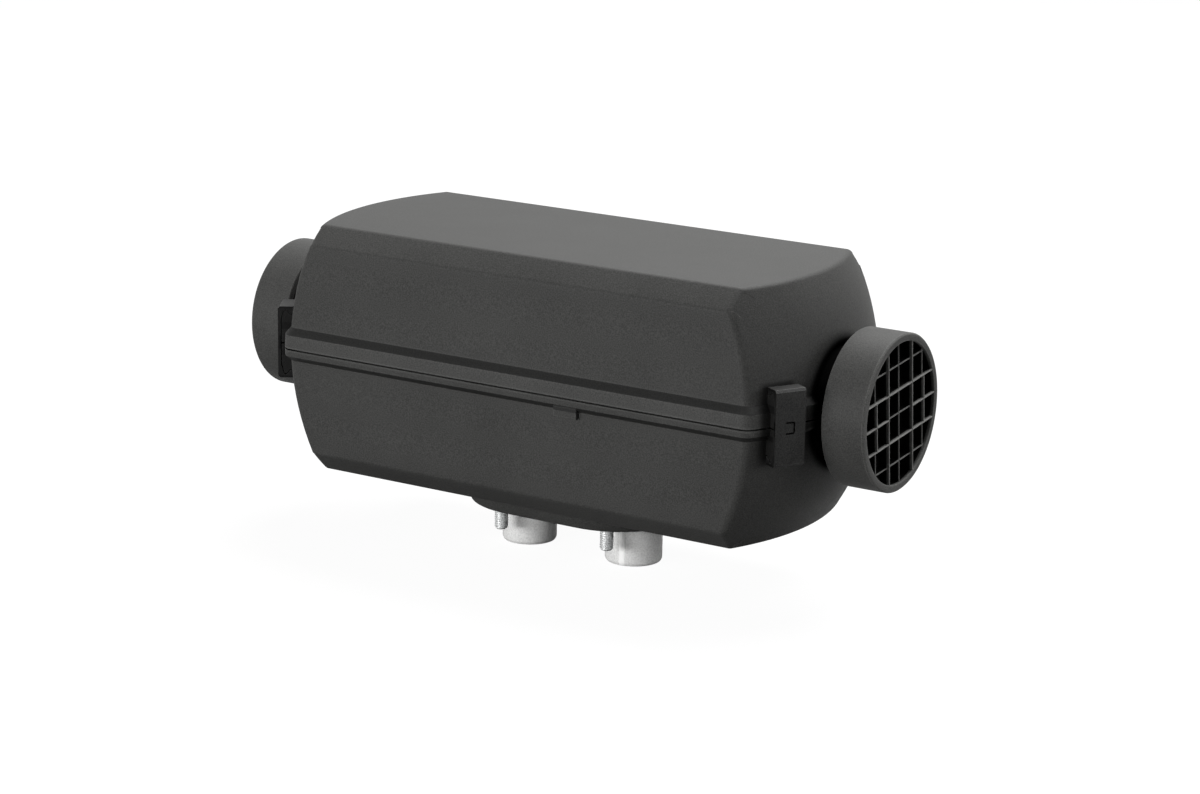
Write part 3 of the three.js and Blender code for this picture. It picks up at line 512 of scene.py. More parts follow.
def map_range(made, value, start, end, low=0.0, high=1.0, kind="LINEAR"):
    """Takes a value from between start and end to between low and high."""
    new = node(made, "ShaderNodeMapRange", interpolation_type=kind)
    link(made, value, new.inputs["Value"])
    names = ("From Min", "From Max", "To Min", "To Max")
    for name, number in zip(names, (start, end, low, high)):
        new.inputs[name].default_value = number
    return new.outputs["Result"]


def between(made, value, low, high, soft):
    """1 where a value lies between two limits, falling to 0 over a soft edge outside."""
    rise = map_range(made, value, low - soft, low, 0.0, 1.0, "SMOOTHSTEP")
    fall = map_range(made, value, high, high + soft, 1.0, 0.0, "SMOOTHSTEP")
    return math_node(made, "MULTIPLY", rise, fall)


def place_coordinates(made, scale=(1, 1, 1), shift=(0, 0, 0)):
    """The object's own coordinates, in millimetres times a scale."""
    coordinates = node(made, "ShaderNodeTexCoord")
    mapping = node(made, "ShaderNodeMapping", Scale=[s / MM for s in scale], Location=shift)
    link(made, coordinates.outputs["Object"], mapping.inputs["Vector"])
    return mapping.outputs["Vector"]


def split(made, vector):
    new = node(made, "ShaderNodeSeparateXYZ")
    link(made, vector, new.inputs[0])
    return [new.outputs[axis] for axis in "XYZ"]


def casing_place(made):
    """Sockets with a place's X, Y and Z in the casing's frame, in millimetres."""
    return split(made, place_coordinates(made, shift=ORIGIN))


def noise(made, vector, size, detail=3.0, roughness=0.5):
    """Noise whose lumps are about the given size, in millimetres."""
    new = node(made, "ShaderNodeTexNoise", Scale=1.0 / size, Detail=detail, Roughness=roughness)
    link(made, vector, new.inputs["Vector"])
    return new.outputs["Fac"]


def ramp(made, source, stops):
    new = node(made, "ShaderNodeValToRGB")
    elements = new.color_ramp.elements
    while len(elements) < len(stops):
        elements.new(0.5)
    for element, (position, value) in zip(elements, stops):
        element.position = position
        color = value if isinstance(value, tuple) else (value,) * 3
        element.color = (*color, 1)
    link(made, source, new.inputs["Fac"])
    return new.outputs["Color"]


def bump(made, height, strength, distance):
    new = node(made, "ShaderNodeBump", Strength=strength, Distance=distance * MM)
    link(made, height, new.inputs["Height"])
    return new.outputs["Normal"]


def finish(made, color, roughness, normal):
    for name, source in (("Base Color", color), ("Roughness", roughness), ("Normal", normal)):
        if source is not None:
            link(made, source, principled(made).inputs[name])
    return made


def toned(made, share, tone):
    """Multiplies the material's colour by a tone where the share is 1."""
    target = principled(made).inputs["Base Color"]
    mix = node(made, "ShaderNodeMix", data_type="RGBA", blend_type="MULTIPLY")
    link(made, share, mix.inputs[0])
    link(made, target.links[0].from_socket, mix.inputs[6])
    mix.inputs[7].default_value = (tone, tone, tone, 1)
    link(made, mix.outputs[2], target)


def grained_plastic(name, dark, light, roughness, grain, depth=0.05, cloud=45.0):
    """Moulded plastic: a fine spark-eroded grain, and faint clouds of colour and gloss."""
    made = material(name, light, roughness, specular=PLASTIC_SPECULAR)
    vector = place_coordinates(made)
    clouds = noise(made, vector, cloud, 4.0, 0.6)
    fine = noise(made, vector, grain, 2.0, 0.6)
    speckle = noise(made, vector, grain * 0.6, 1.0, 0.5)
    faint = math_node(made, "MULTIPLY", clouds, CLOUD_SHARE)
    mix = math_node(made, "MULTIPLY_ADD", speckle, SPECKLE_SHARE, faint)
    color = ramp(made, mix, [(0.37, dark), (0.78, light)])
    gloss = ramp(made, clouds, [(0.3, roughness - 0.04), (0.7, roughness + 0.05)])
    return finish(made, color, gloss, bump(made, fine, 0.6, depth))


def casing_light_and_shade(made):
    """Painted light and shade on the casing's plastic: painted shade on the rim's slopes, in the duct
    openings and bores and round the clips; painted light on the rim's band, the rings and the grille.
    """
    calc = partial(math_node, made)
    x, y, z = casing_place(made)
    along = calc("ABSOLUTE", x)
    across = calc("ABSOLUTE", y)
    casing = between(made, along, -1.0, END_REACH - 2.0, 0.5)
    upper = SEAM + RIM_ABOVE
    lower = SEAM - RIM_BELOW
    # painted shade darkens the rim's slopes, and painted light brightens its band above the seam
    for low, high, tone in (
        (upper, upper + RIM_SLOPE_ABOVE, SLOPE_SHADE_TONE),
        (lower - RIM_SLOPE_BELOW, lower, SLOPE_SHADE_TONE),
        (SEAM, upper - 0.2, BAND_LIGHT_TONE),
    ):
        toned(made, calc("MULTIPLY", between(made, z, low, high, 0.2), casing), tone)
    squares = calc("ADD", calc("POWER", y, 2.0), calc("POWER", z, 2.0))
    from_axis = calc("SQRT", squares)
    # painted shade in the duct opening and inside the ring's bore
    recess = 0.0
    for radius, soft, start, end in (
        (OPENING_RADIUS + OPENING_ROLL, OPENING_SHADE, 0.0, END_REACH + 1.0),
        (RING_BORE, 0.2, END_REACH + 1.5, RING_FRONT - RECESS_START),
    ):
        inside = between(made, from_axis, -1.0, radius, soft)
        share = calc("MULTIPLY", inside, between(made, along, start, end, 0.4))
        toned(made, share, RECESS_SHADE_TONE)
        recess = calc("MAXIMUM", recess, share)
    # the painted shade takes the shine away there as well
    level = principled(made).inputs["Specular IOR Level"]
    shine = level.default_value
    link(made, calc("MULTIPLY_ADD", recess, -shine, shine), level)
    # painted light on the rings and their front faces, and painted highlights on the grille bars
    ring = between(made, along, END_REACH + 1.0, 2 * END_REACH, 0.5)
    toned(made, ring, RING_LIGHT_TONE)
    toned(made, between(made, along, RING_FRONT - 0.7, 2 * END_REACH, 0.2), RING_FACE_LIGHT_TONE)
    grille_room = between(made, from_axis, -1.0, RING_BORE - 0.4, 0.2)
    toned(made, calc("MULTIPLY", grille_room, ring), GRILLE_HIGHLIGHT_TONE)
    # painted shadow on the casing round each clip
    from_x = calc("POWER", calc("SUBTRACT", along, CLIP_X), 2.0)
    from_y = calc("POWER", calc("SUBTRACT", across, CLIP_Y), 2.0)
    away = calc("SQRT", calc("ADD", from_x, from_y))
    beside = between(made, away, -1.0, CLIP_LENGTH / 2 + CLIP_SHADOW_SPREAD, CLIP_SHADOW_SPREAD)
    height = between(made, z, CLIP_Z - CLIP_HEIGHT / 2, CLIP_Z + CLIP_HEIGHT / 2, 2.0)
    toned(made, calc("MULTIPLY", beside, height), CLIP_SHADOW_TONE)
    return made


def painted_edge_highlights(made, tone, width, where=1.0):
    """Painted highlights along sharp edges, where they catch more light than the faces beside them."""
    geometry = node(made, "ShaderNodeNewGeometry")
    softened = node(made, "ShaderNodeBevel", samples=EDGE_SAMPLES, Radius=width * MM)
    alike = node(made, "ShaderNodeVectorMath", operation="DOT_PRODUCT")
    link(made, geometry.outputs["Normal"], alike.inputs[0])
    link(made, softened.outputs[0], alike.inputs[1])
    share = map_range(made, alike.outputs["Value"], 0.995, 0.93)
    toned(made, math_node(made, "MULTIPLY", share, where), tone)
    return made


def clip_shade_and_highlights(made):
    """Painted shade makes the clips' ends, chamfers and slots darker than their plates, and painted
    highlights run along their edges.
    """
    calc = partial(math_node, made)
    x, y, z = casing_place(made)
    turn = math.radians(CLIP_YAW)
    along = calc("SUBTRACT", calc("ABSOLUTE", x), CLIP_X)
    across = calc("SUBTRACT", calc("ABSOLUTE", y), CLIP_Y)
    sideways = calc("MULTIPLY", along, -math.sin(turn))
    place = calc("ABSOLUTE", calc("MULTIPLY_ADD", across, math.cos(turn), sideways))
    outwards = calc("MULTIPLY", along, math.cos(turn))
    out = calc("MULTIPLY_ADD", across, math.sin(turn), outwards)
    height = calc("ABSOLUTE", calc("SUBTRACT", z, CLIP_Z))
    end = CLIP_LENGTH / 2
    top = CLIP_HEIGHT / 2
    # painted shade on the clips' ends, top chamfers and tongue slots
    toned(made, between(made, place, end - 0.15, CLIP_LENGTH, 0.1), CLIP_END_SHADE_TONE)
    toned(made, between(made, height, top - 0.8, top - 0.2, 0.15), CLIP_CHAMFER_SHADE_TONE)
    under = between(made, out, -CLIP_DEPTH, -SLOT_SHADE, 0.15)
    tongue = between(made, height, -1.0, 3.0, 0.1)
    toned(made, calc("MULTIPLY", under, tongue), CLIP_SLOT_SHADE_TONE)
    # painted highlights along the clips' top edges and ends
    rim = between(made, height, 4.0, CLIP_HEIGHT, 0.5)
    sides = between(made, place, end - 1.5, CLIP_LENGTH, 0.5)
    return painted_edge_highlights(made, CLIP_EDGE_HIGHLIGHT_TONE, CLIP_EDGE_WIDTH, calc("MAXIMUM", rim, sides))


def cast_metal(name, dark, light, roughness=0.42):
    """Bare die-cast aluminium: speckled, with fine pits and a trimmed parting line that carries a painted
    highlight.
    """
    made = material(name, light, roughness, CAST_METALLIC)
    vector = place_coordinates(made)
    blotches = noise(made, vector, 0.8, 6.0, 0.75)
    pits = noise(made, vector, 0.5, 3.0, 0.6)
    color = ramp(made, blotches, [(0.36, dark), (0.6, light)])
    gloss = ramp(made, blotches, [(0.3, roughness + 0.14), (0.7, roughness - 0.06)])
    finish(made, color, gloss, bump(made, pits, 0.5, 0.06))
    # a lighter stripe down the exhaust stub's front: its parting line, with a painted highlight along it
    x, y, z = casing_place(made)
    middle = EXHAUST_X + PARTING_X
    line = between(made, x, middle - PARTING_HALF, middle + PARTING_HALF, 0.6)
    front = between(made, y, -2 * EXHAUST_RADIUS, 0.0, 1.0)
    low = between(made, z, -2 * STUB_DROP, -FOOT_DROP, 1.0)
    share = math_node(made, "MULTIPLY", math_node(made, "MULTIPLY", line, front), low)
    toned(made, share, PARTING_HIGHLIGHT_TONE)
    return made


def drawn_metal(name, dark, light, roughness, scale=(0.25, 6, 6), metallic=1.0):
    """Plated or drawn metal with fine lines along its length."""
    made = material(name, light, roughness, metallic)
    lines = noise(made, place_coordinates(made, scale), 2.0, 4.0, 0.6)
    color = ramp(made, lines, [(0.3, dark), (0.7, light)])
    gloss = ramp(made, lines, [(0.3, roughness + 0.1), (0.7, roughness - 0.04)])
    return finish(made, color, gloss, bump(made, lines, 0.25, 0.03))


def tinted_metal(name):
    """Stainless steel coloured by heat, straw to blue along the flame tube."""
    made = material(name, (0.25, 0.24, 0.23), 0.38, 1.0)
    vector = place_coordinates(made)
    patches = noise(made, vector, 6.0, 4.0, 0.6)
    shifted = math_node(made, "MULTIPLY_ADD", patches, 30.0, split(made, vector)[0])
    stops = [
        (0.0, (0.34, 0.33, 0.32)),
        (0.4, (0.42, 0.33, 0.2)),
        (0.7, (0.25, 0.16, 0.2)),
        (1.0, (0.13, 0.16, 0.27)),
    ]
    color = ramp(made, map_range(made, shifted, -30.0, 70.0), stops)
    return finish(made, color, None, bump(made, patches, 0.2, 0.05))


def fibre(name, dark, light, size, depth):
    """Pressed fibre, felt or gasket sheet."""
    made = material(name, light, 0.9, 0.0, 0.3)
    threads = noise(made, place_coordinates(made, (1, 1, 3)), size, 6.0, 0.75)
    color = ramp(made, threads, [(0.3, dark), (0.7, light)])
    return finish(made, color, None, bump(made, threads, 0.8, depth))


def circuit_board(name):
    """Lacquered board with darker tracks and small bright pads."""
    made = material(name, (0.02, 0.12, 0.05), 0.35)
    bricks = node(made, "ShaderNodeTexBrick", Scale=0.35)
    bricks.inputs["Mortar Size"].default_value = 0.06
    bricks.inputs["Color1"].default_value = (0.015, 0.105, 0.045, 1)
    bricks.inputs["Color2"].default_value = (0.012, 0.085, 0.04, 1)
    bricks.inputs["Mortar"].default_value = (0.05, 0.2, 0.09, 1)
    link(made, place_coordinates(made), bricks.inputs["Vector"])
    normal = bump(made, bricks.outputs["Fac"], 0.2, 0.05)
    return finish(made, bricks.outputs["Color"], None, normal)


CASING_GREYS = (0.032, 0.032, 0.031), (0.064, 0.064, 0.062)
CLIP_GREYS = (0.015, 0.015, 0.0147), (0.048, 0.048, 0.047)
FAN_GREYS = (0.015, 0.015, 0.016), (0.03, 0.03, 0.031)
RUBBER_GREYS = (0.009, 0.009, 0.009), (0.018, 0.018, 0.018)
CAST_GREYS = (0.74, 0.74, 0.73), (1.0, 1.0, 0.99)
ZINC_GREYS = (0.72, 0.73, 0.73), (0.9, 0.91, 0.91)
TUBE_GREYS = (0.38, 0.38, 0.38), (0.55, 0.55, 0.55)
MOTOR_GREYS = (0.07, 0.07, 0.08), (0.13, 0.13, 0.14)
BEARING_GREYS = (0.5, 0.5, 0.51), (0.68, 0.68, 0.69)
BRASS_COLORS = (0.42, 0.29, 0.11), (0.6, 0.44, 0.2)
GASKET_GREYS = (0.1, 0.1, 0.095), (0.2, 0.205, 0.195)
FELT_COLORS = (0.42, 0.4, 0.35), (0.68, 0.66, 0.6)

# the casing's plastic, with painted light and shade in its colour
CASING_PLASTIC = casing_light_and_shade(grained_plastic("casing_plastic", *CASING_GREYS, 0.56, 0.9, 0.1))

MATERIALS = {
    # painted highlights along the casing's sharp edges
    "casing": painted_edge_highlights(CASING_PLASTIC, EDGE_HIGHLIGHT_TONE, EDGE_WIDTH),
    # the clips' plastic, with painted shade and painted edge highlights in its colour
    "clip": clip_shade_and_highlights(grained_plastic("clip_plastic", *CLIP_GREYS, 0.46, 0.9, 0.04, 9.0)),
    "cast_aluminium": cast_metal("cast_aluminium", *CAST_GREYS),
    "zinc_steel": drawn_metal("zinc_plate", *ZINC_GREYS, 0.35, (4, 4, 0.4), 0.45),
    "pipe_steel": drawn_metal("drawn_tube", *TUBE_GREYS, 0.28, (1, 1, 1)),
    "burner_steel": tinted_metal("heat_tinted_steel"),
    "motor_steel": drawn_metal("phosphated_steel", *MOTOR_GREYS, 0.45),
    "bearing_steel": drawn_metal("ground_steel", *BEARING_GREYS, 0.22),
    "brass": drawn_metal("plain_brass", *BRASS_COLORS, 0.32),
    "fan_plastic": grained_plastic("fan_plastic", *FAN_GREYS, 0.45, 0.8),
    "circuit_board": circuit_board("board_lacquer"),
    "gasket": fibre("gasket_sheet", *GASKET_GREYS, 0.8, 0.08),
    "felt": fibre("metal_felt", *FELT_COLORS, 0.5, 0.2),
    "rubber": grained_plastic("dull_rubber", *RUBBER_GREYS, 0.72, 1.2),
}


def dress(obj, slot, body="housing", replaced=()):
    """Gives a piece its material, its body and the nodes that it stands for."""
    obj.data.materials.clear()
    obj.data.materials.append(MATERIALS[slot])
    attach(obj, body)
    if replaced:
        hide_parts(*replaced)
    return obj


# --- casing shells

def dome_fall(radius, distance):
    return radius - math.sqrt(radius * radius - distance * distance)


def end_face(y, z):
    """How far the casing's domed end reaches along X at a place in its section."""
    return END_REACH - dome_fall(END_RADIUS_ACROSS, y) - dome_fall(END_RADIUS_UP, z)


def end_normal(y, z):
    slope_y = y / math.sqrt(END_RADIUS_ACROSS**2 - y * y)
    slope_z = z / math.sqrt(END_RADIUS_UP**2 - z * z)
    return Vector((1.0, slope_y, slope_z)).normalized()


def rim_size(side):
    """The rim's band and slope, as distances from the seam, on the upper or the lower shell."""
    return (RIM_ABOVE, RIM_SLOPE_ABOVE) if side > 0 else (RIM_BELOW, RIM_SLOPE_BELOW)


def ramp_sum(distance, start, length):
    """Integral of a ramp that climbs from 0 at the start to 1 after the length."""
    t = min(max(distance - start, 0.0), length)
    return t * t / (2 * length) + max(distance - start - length, 0.0)


def rim_height(distance, side):
    """How far the rim stands proud at a distance from the seam, with softened corners."""
    rim, slope = rim_size(side)
    low = ramp_sum(distance - RIM_SOFTNESS / 2, rim, slope)
    high = ramp_sum(distance + RIM_SOFTNESS / 2, rim, slope)
    return RIM_PROUD * (1.0 - (high - low) / RIM_SOFTNESS)


def seam_levels(side):
    """Distances from the seam at which the section has a point, dense where the rim bends."""
    rim, slope = rim_size(side)
    edge = SEAM_GAP / 2
    soft = RIM_SOFTNESS
    fine = [i * soft / 4 for i in range(-2, 3)]
    levels = [edge, edge + SEAM_CHAMFER / 2, edge + SEAM_CHAMFER, (edge + rim) / 2]
    levels += [rim + f for f in fine]
    levels += [rim + slope * t for t in (0.35, 0.5, 0.65)]
    levels += [rim + slope + f for f in fine]
    levels += [rim + slope + 1.6]
    return levels


def half_section(side):
    """Half of the section's outline from the seam to the middle of the top or the bottom."""
    height = CASING_TOP if side > 0 else CASING_BOTTOM
    spare = FACE_HALF_WIDTH + height - WALL_HALF_WIDTH + (CREASE_LIFT if side > 0 else 0.0)
    crease = spare / (1 - WALL_DRAFT)
    levels = [SEAM + side * level for level in seam_levels(side)]
    points = [Vector((WALL_HALF_WIDTH - WALL_DRAFT * abs(z), z)) for z in levels]
    start = levels[-1]
    line = rounded(
        [
            (WALL_HALF_WIDTH - WALL_DRAFT * abs(start), start, 0),
            (WALL_HALF_WIDTH - WALL_DRAFT * crease, side * crease, CREASE_RADIUS),
            (FACE_HALF_WIDTH, side * height, TOP_EDGE_RADIUS),
            (0.0, side * height, 0),
        ],
        arc_steps=6,
        spacing=5.0,
    )
    return points + line[1:]


def hole_point(point, radius):
    """Where the line from a section point meets a circle round the duct opening."""
    y, z = point
    side = 1.0 if z >= 0 else -1.0
    if abs(z) <= STRAIGHT_HEIGHT:
        return Vector((math.sqrt(radius * radius - z * z), z))
    first = math.asin(STRAIGHT_HEIGHT / radius)
    outer = math.atan2(STRAIGHT_HEIGHT, WALL_HALF_WIDTH - WALL_DRAFT * STRAIGHT_HEIGHT)
    share = (math.atan2(abs(z), y) - outer) / (math.pi / 2 - outer)
    turn = first + (math.pi / 2 - first) * share
    return Vector((radius * math.cos(turn), side * radius * math.sin(turn)))


def half_path(point, normal, radius):
    """Points and normals from the rolled edge of the duct opening to the middle of the side."""
    steps_roll, steps_face, steps_corner, steps_side = 6, 16, 7, 7
    path = []
    for i in range(steps_roll):
        turn = math.pi / 2 * i / steps_roll
        ring = OPENING_RADIUS + OPENING_ROLL * (1 - math.cos(turn))
        at = hole_point(point, ring)
        depth = OPENING_ROLL * (1 - math.sin(turn))
        outward = end_normal(at.x, at.y) * math.sin(turn)
        inward = Vector((0.0, -at.x, -at.y)).normalized() * math.cos(turn)
        path.append((Vector((end_face(at.x, at.y) - depth, at.x, at.y)), outward + inward))
    fall = -end_normal(point.x, point.y).dot(Vector((0.0, normal.x, normal.y)))
    slope = -fall / end_normal(point.x, point.y).x
    inner_angle = math.pi / 2 + math.atan(slope)
    reach = radius / math.tan(inner_angle / 2)
    spread = math.hypot(1.0, slope)
    face_end = point - normal * (reach / spread)
    start = hole_point(point, OPENING_RADIUS + OPENING_ROLL)
    for i in range(steps_face):
        at = start.lerp(face_end, i / steps_face)
        path.append((Vector((end_face(at.x, at.y), at.x, at.y)), end_normal(at.x, at.y)))
    side_x = end_face(point.x, point.y) - reach
    side_normal = Vector((0.0, normal.x, normal.y))
    centre = Vector((side_x, point.x, point.y)) - side_normal * radius
    face_normal = end_normal(face_end.x, face_end.y)
    for i in range(steps_corner + 1):
        outward = face_normal.slerp(side_normal, i / steps_corner)
        path.append((centre + outward * radius, outward))
    for i in range(steps_side):
        x = side_x * (1 - (i + 1) / steps_side)
        path.append((Vector((x, point.x, point.y)), side_normal.copy()))
    return path


def section_normals(points):
    """Outward normals of the half section, by the directions of its neighbours."""
    normals = []
    for i, point in enumerate(points):
        before = points[max(i - 1, 0)]
        after = points[min(i + 1, len(points) - 1)]
        along = (after - before).normalized()
        outward = Vector((along.y, -along.x))
        normals.append(outward if outward.dot(point) > 0 else -outward)
    normals[0] = Vector((1.0, 0.0))
    normals[-1] = Vector((0.0, math.copysign(1.0, points[-1].y)))
    return normals


def shell_surface(name, side):
    """One casing shell: its outer skin, then its thickness."""
    half = half_section(side)
    normals = section_normals(half)
    columns = []
    for point, normal in zip(half, normals):
        upness = (abs(point.y) - CORNER_BLEND_START) / (CORNER_BLEND_END - CORNER_BLEND_START)
        upness = min(max(upness, 0.0), 1.0)
        radius = CORNER_RADIUS + (END_EDGE_RADIUS - CORNER_RADIUS) * upness
        proud = rim_height(abs(point.y - SEAM), side)
        if abs(point.y - SEAM) < SEAM_GAP / 2 + SEAM_CHAMFER * 0.9:
            share = 1 - (abs(point.y - SEAM) - SEAM_GAP / 2) / SEAM_CHAMFER
            proud -= SEAM_CHAMFER * share
        column = []
        for at, outward in half_path(point, normal, radius):
            push = Vector((outward.x, outward.y, 0.0))
            column.append(at + push.normalized() * proud if proud > 1e-6 else at)
        mirrored = [Vector((-p.x, p.y, p.z)) for p in reversed(column[:-1])]
        columns.append(column + mirrored)
    other = [[Vector((p.x, -p.y, p.z)) for p in column] for column in reversed(columns[:-1])]
    shell = grid(name, columns + other, False, False)
    # The skin's faces all turn outwards before it is given its thickness.
    axis = put((0, 0, 0))
    outwardness = sum(face.normal.dot(face.center - axis) * face.area for face in shell.data.polygons)
    if outwardness < 0:
        shell.data.flip_normals()
    thicken(shell, SHELL_THICKNESS, -1.0)
    shade(shell, 40.0)
    return shell


CLIPS = {
    "front_right": (1, -1, False, -CLIP_YAW),
    "rear_right": (1, 1, True, CLIP_YAW),
    "front_left": (-1, -1, True, 180 + CLIP_YAW),
    "rear_left": (-1, 1, False, 180 - CLIP_YAW),
}


def clip_matrix(name):
    right, rear, flip, yaw = CLIPS[name]
    place = Matrix.Translation((right * CLIP_X, rear * CLIP_Y, CLIP_Z))
    turn = Matrix.Rotation(math.radians(yaw), 4, "Z")
    over = Matrix.Rotation(math.pi if flip else 0.0, 4, "X")
    return place @ turn @ over


def rail_outline(grow, base):
    """Section of a clip rail, (outwards, up), grown by a clearance."""
    face = grow - CLIP_PLATE - CLEARANCE
    top = RAIL_HALF_HEIGHT + grow
    neck = RAIL_NECK_HALF + grow
    lower = rounded(
        [
            (base, -neck, 0),
            (-RAIL_NECK, -neck, 1.4),
            (-RAIL_LOBE - 0.6, -top, 0.9),
            (-RAIL_LOBE + 0.7, -top, 0.9),
            (face, 4.6 - top, 1.6),
            (face, 0.0, 0),
        ],
        arc_steps=4,
        spacing=20.0,
    )
    upper = [Vector((p.x, -p.y)) for p in reversed(lower[:-1])]
    return lower + upper


def rail(name, place, side):
    """The half of a clip rail that belongs to one shell."""
    half = CLIP_LENGTH / 2 - CLEARANCE
    piece = prism(name, rail_outline(0.0, -CLIP_DEPTH - 3.0), -half, half, "Y", clip_matrix(place))
    edge = SEAM + side * SEAM_GAP / 2
    low, high = sorted((edge, edge + side * END_REACH))
    half_space = brick(name + "_half", (-FAR, -FAR, low), (FAR, FAR, high))
    boolean(piece, half_space, "INTERSECT")
    return bevel(piece, 0.25, 2)


def rounded_boss():
    """The oval boss under the lower shell, open inside, round the exchanger's foot."""
    levels = [
        (-CASING_BOTTOM + 1.0, -BOSS_DRAFT - 1.0),
        (-CASING_BOTTOM - 0.1, -BOSS_DRAFT - 0.6),
        (-CASING_BOTTOM - 0.5, -BOSS_DRAFT - 0.15),
        (-CASING_BOTTOM - 1.1, -BOSS_DRAFT + 0.1),
        (-BOSS_DROP + 1.0, -0.3),
        (-BOSS_DROP + 0.3, 0.05),
        (-BOSS_DROP, 0.6),
        (-BOSS_DROP, BOSS_WALL - 0.3),
        (-BOSS_DROP + 0.3, BOSS_WALL),
        (-CASING_BOTTOM + 1.0, BOSS_WALL),
    ]
    rows = [[(x, y, z) for x, y in oval(inset)] for z, inset in levels]
    return grid("boss", rows, smooth_angle=40.0)


def lug(side):
    """The small lug under the rim, with rounded edges."""
    half = LUG_LENGTH / 2
    outer = WALL_HALF_WIDTH + LUG_PROUD
    inner = WALL_HALF_WIDTH - SHELL_THICKNESS
    y0, y1 = sorted((side * outer, side * inner))
    piece = brick("lug", (LUG_CENTRE - half, y0, -LUG_DEPTH), (LUG_CENTRE + half, y1, SEAM - 1.5))
    return bevel(piece, 0.5, 3)


def lip():
    """The band inside the seam that locates the upper shell on the lower one."""
    inset = SHELL_THICKNESS + CLEARANCE
    columns = []
    for z in (LIP_LOW, -2.0, LIP_HIGH):
        half = WALL_HALF_WIDTH - WALL_DRAFT * abs(z) - inset
        start = Vector((math.sqrt(COLLAR_ROOM**2 - z * z), z))
        faces = [start.lerp(Vector((half - 3.0, z)), i / 12) for i in range(13)]
        column = [(end_face(p.x, p.y) - inset, p.x, z) for p in faces]
        column += [(end_face(half - 1.0, z) - inset - 0.8, half - 1.0, z)]
        column += [(end_face(half, z) - inset - 3.0, half, z)]
        column += [(0.0, half, z)]
        column += [(-x, y, z) for x, y, z in reversed(column[:-1])]
        columns.append(column)
    bands = []
    for side in (1, -1):
        rows = [[(x, side * y, z) for x, y, z in column] for column in columns]
        band = thicken(grid("lip", rows, False, False), LIP_THICKNESS, 0.0)
        shade(band, 30.0)
        bands.append(band)
    return bands


def upper_casing():
    shell = shell_surface("upper", 1)
    rails = [rail("rail", place, 1) for place in CLIPS]
    whole = join("upper_casing_shell", [shell, *rails])
    return dress(whole, "casing", replaced=("upper_casing",))


def lower_casing():
    shell = shell_surface("lower", -1)
    opening = prism("opening", oval(BOSS_WALL), -BOSS_DROP - 5, -CASING_BOTTOM + 8, "Z")
    boolean(shell, opening)
    hole = prism("gland_hole", circle(GLAND_RADIUS, 48, (GLAND_X, -GLAND_DROP)), 45.0, 65.0, "Y")
    boolean(shell, hole)
    shade(shell, 40.0)
    rails = [rail("rail", place, -1) for place in CLIPS]
    whole = join("lower_casing_shell", [shell, rounded_boss(), *lip(), lug(-1), lug(1), *rails])
    return dress(whole, "casing", replaced=("lower_casing",))


# --- duct rings

def grille_bar(low, high):
    """A bar of the grille, its front edges slightly rounded. Runs along Y or Z."""
    return bevel(brick("bar", low, high), 0.16, 2)


def grille():
    lines = [(i - 2) * GRILLE_PITCH for i in range(5)]
    half = GRILLE_WIDTH / 2
    reach = {line: math.sqrt(RING_BORE**2 - line * line) + 0.25 for line in lines}
    back = RING_FRONT - GRILLE_DEPTH
    low_front = RING_FRONT - GRILLE_STEP
    bars = []
    for i, line in enumerate(lines):
        front = RING_FRONT - 0.05 if i in (1, 3) else low_front
        long = reach[line]
        bars.append(grille_bar((back, line - half, -long), (front, line + half, long)))
        bars.append(grille_bar((back, -long, line - half), (front, long, line + half)))
    for side in (-1, 1):
        outer = side * 2 * GRILLE_PITCH
        front = RING_FRONT - 0.08
        bars.append(grille_bar((back, outer - half, -GRILLE_PITCH), (front, outer + half, GRILLE_PITCH)))
        y0, y1 = sorted((side * GRILLE_PITCH, side * reach[0.0]))
        bars.append(grille_bar((back, y0, -half), (front, y1, half)))
    return bars


def ring_profile():
    """The ring's section, [x, radius], with its edges rounded."""
    wall = RING_RADIUS - RING_BORE
    corners = [
        (COLLAR_BACK, NECK_BORE, 0.3),
        (RING_BACK + 2.2, NECK_BORE, 1.0),
        (RING_BACK + 2.2 + RING_BORE - NECK_BORE, RING_BORE, 2.0),
        (RING_FRONT, RING_BORE, 0.3),
        (RING_FRONT, RING_RADIUS - wall * 0.2, 0.25),
        (RING_FRONT - wall * 0.2, RING_RADIUS, 0.3),
        (RING_BACK, RING_RADIUS, 0.6),
        (RING_BACK, NECK_RADIUS, 0.6),
        (COLLAR_FRONT, NECK_RADIUS, 0.4),
        (COLLAR_FRONT, COLLAR_RADIUS, 0.3),
        (COLLAR_BACK, COLLAR_RADIUS, 0.3),
    ]
    middle = ((COLLAR_BACK + RING_BACK) / 2, NECK_BORE, 0)
    line = rounded([middle, *corners[1:], corners[0], middle], arc_steps=3, spacing=12.0)
    return line[:-1]


def duct_ring(name, end):
    body = revolved("ring", ring_profile(), 160, 50.0)
    whole = join(name + "_part", [body, *grille()])
    turn = Matrix.Rotation(math.radians(GRILLE_TURN), 4, "X")
    if end < 0:
        turn = Matrix.Rotation(math.pi, 4, "Z") @ turn
    moved(whole, turn)
    return dress(whole, "casing", replaced=(name,))


# --- clips

def tongue_edge(end, half, radius, arc_steps):
    """A U round the clip's spring tongue, from the side at -half to the side at half."""
    corners = [
        (TONGUE_START, -half, 0),
        (end, -half, radius),
        (end, half, radius),
        (TONGUE_START, half, 0),
    ]
    return rounded(corners, arc_steps, 20.0)


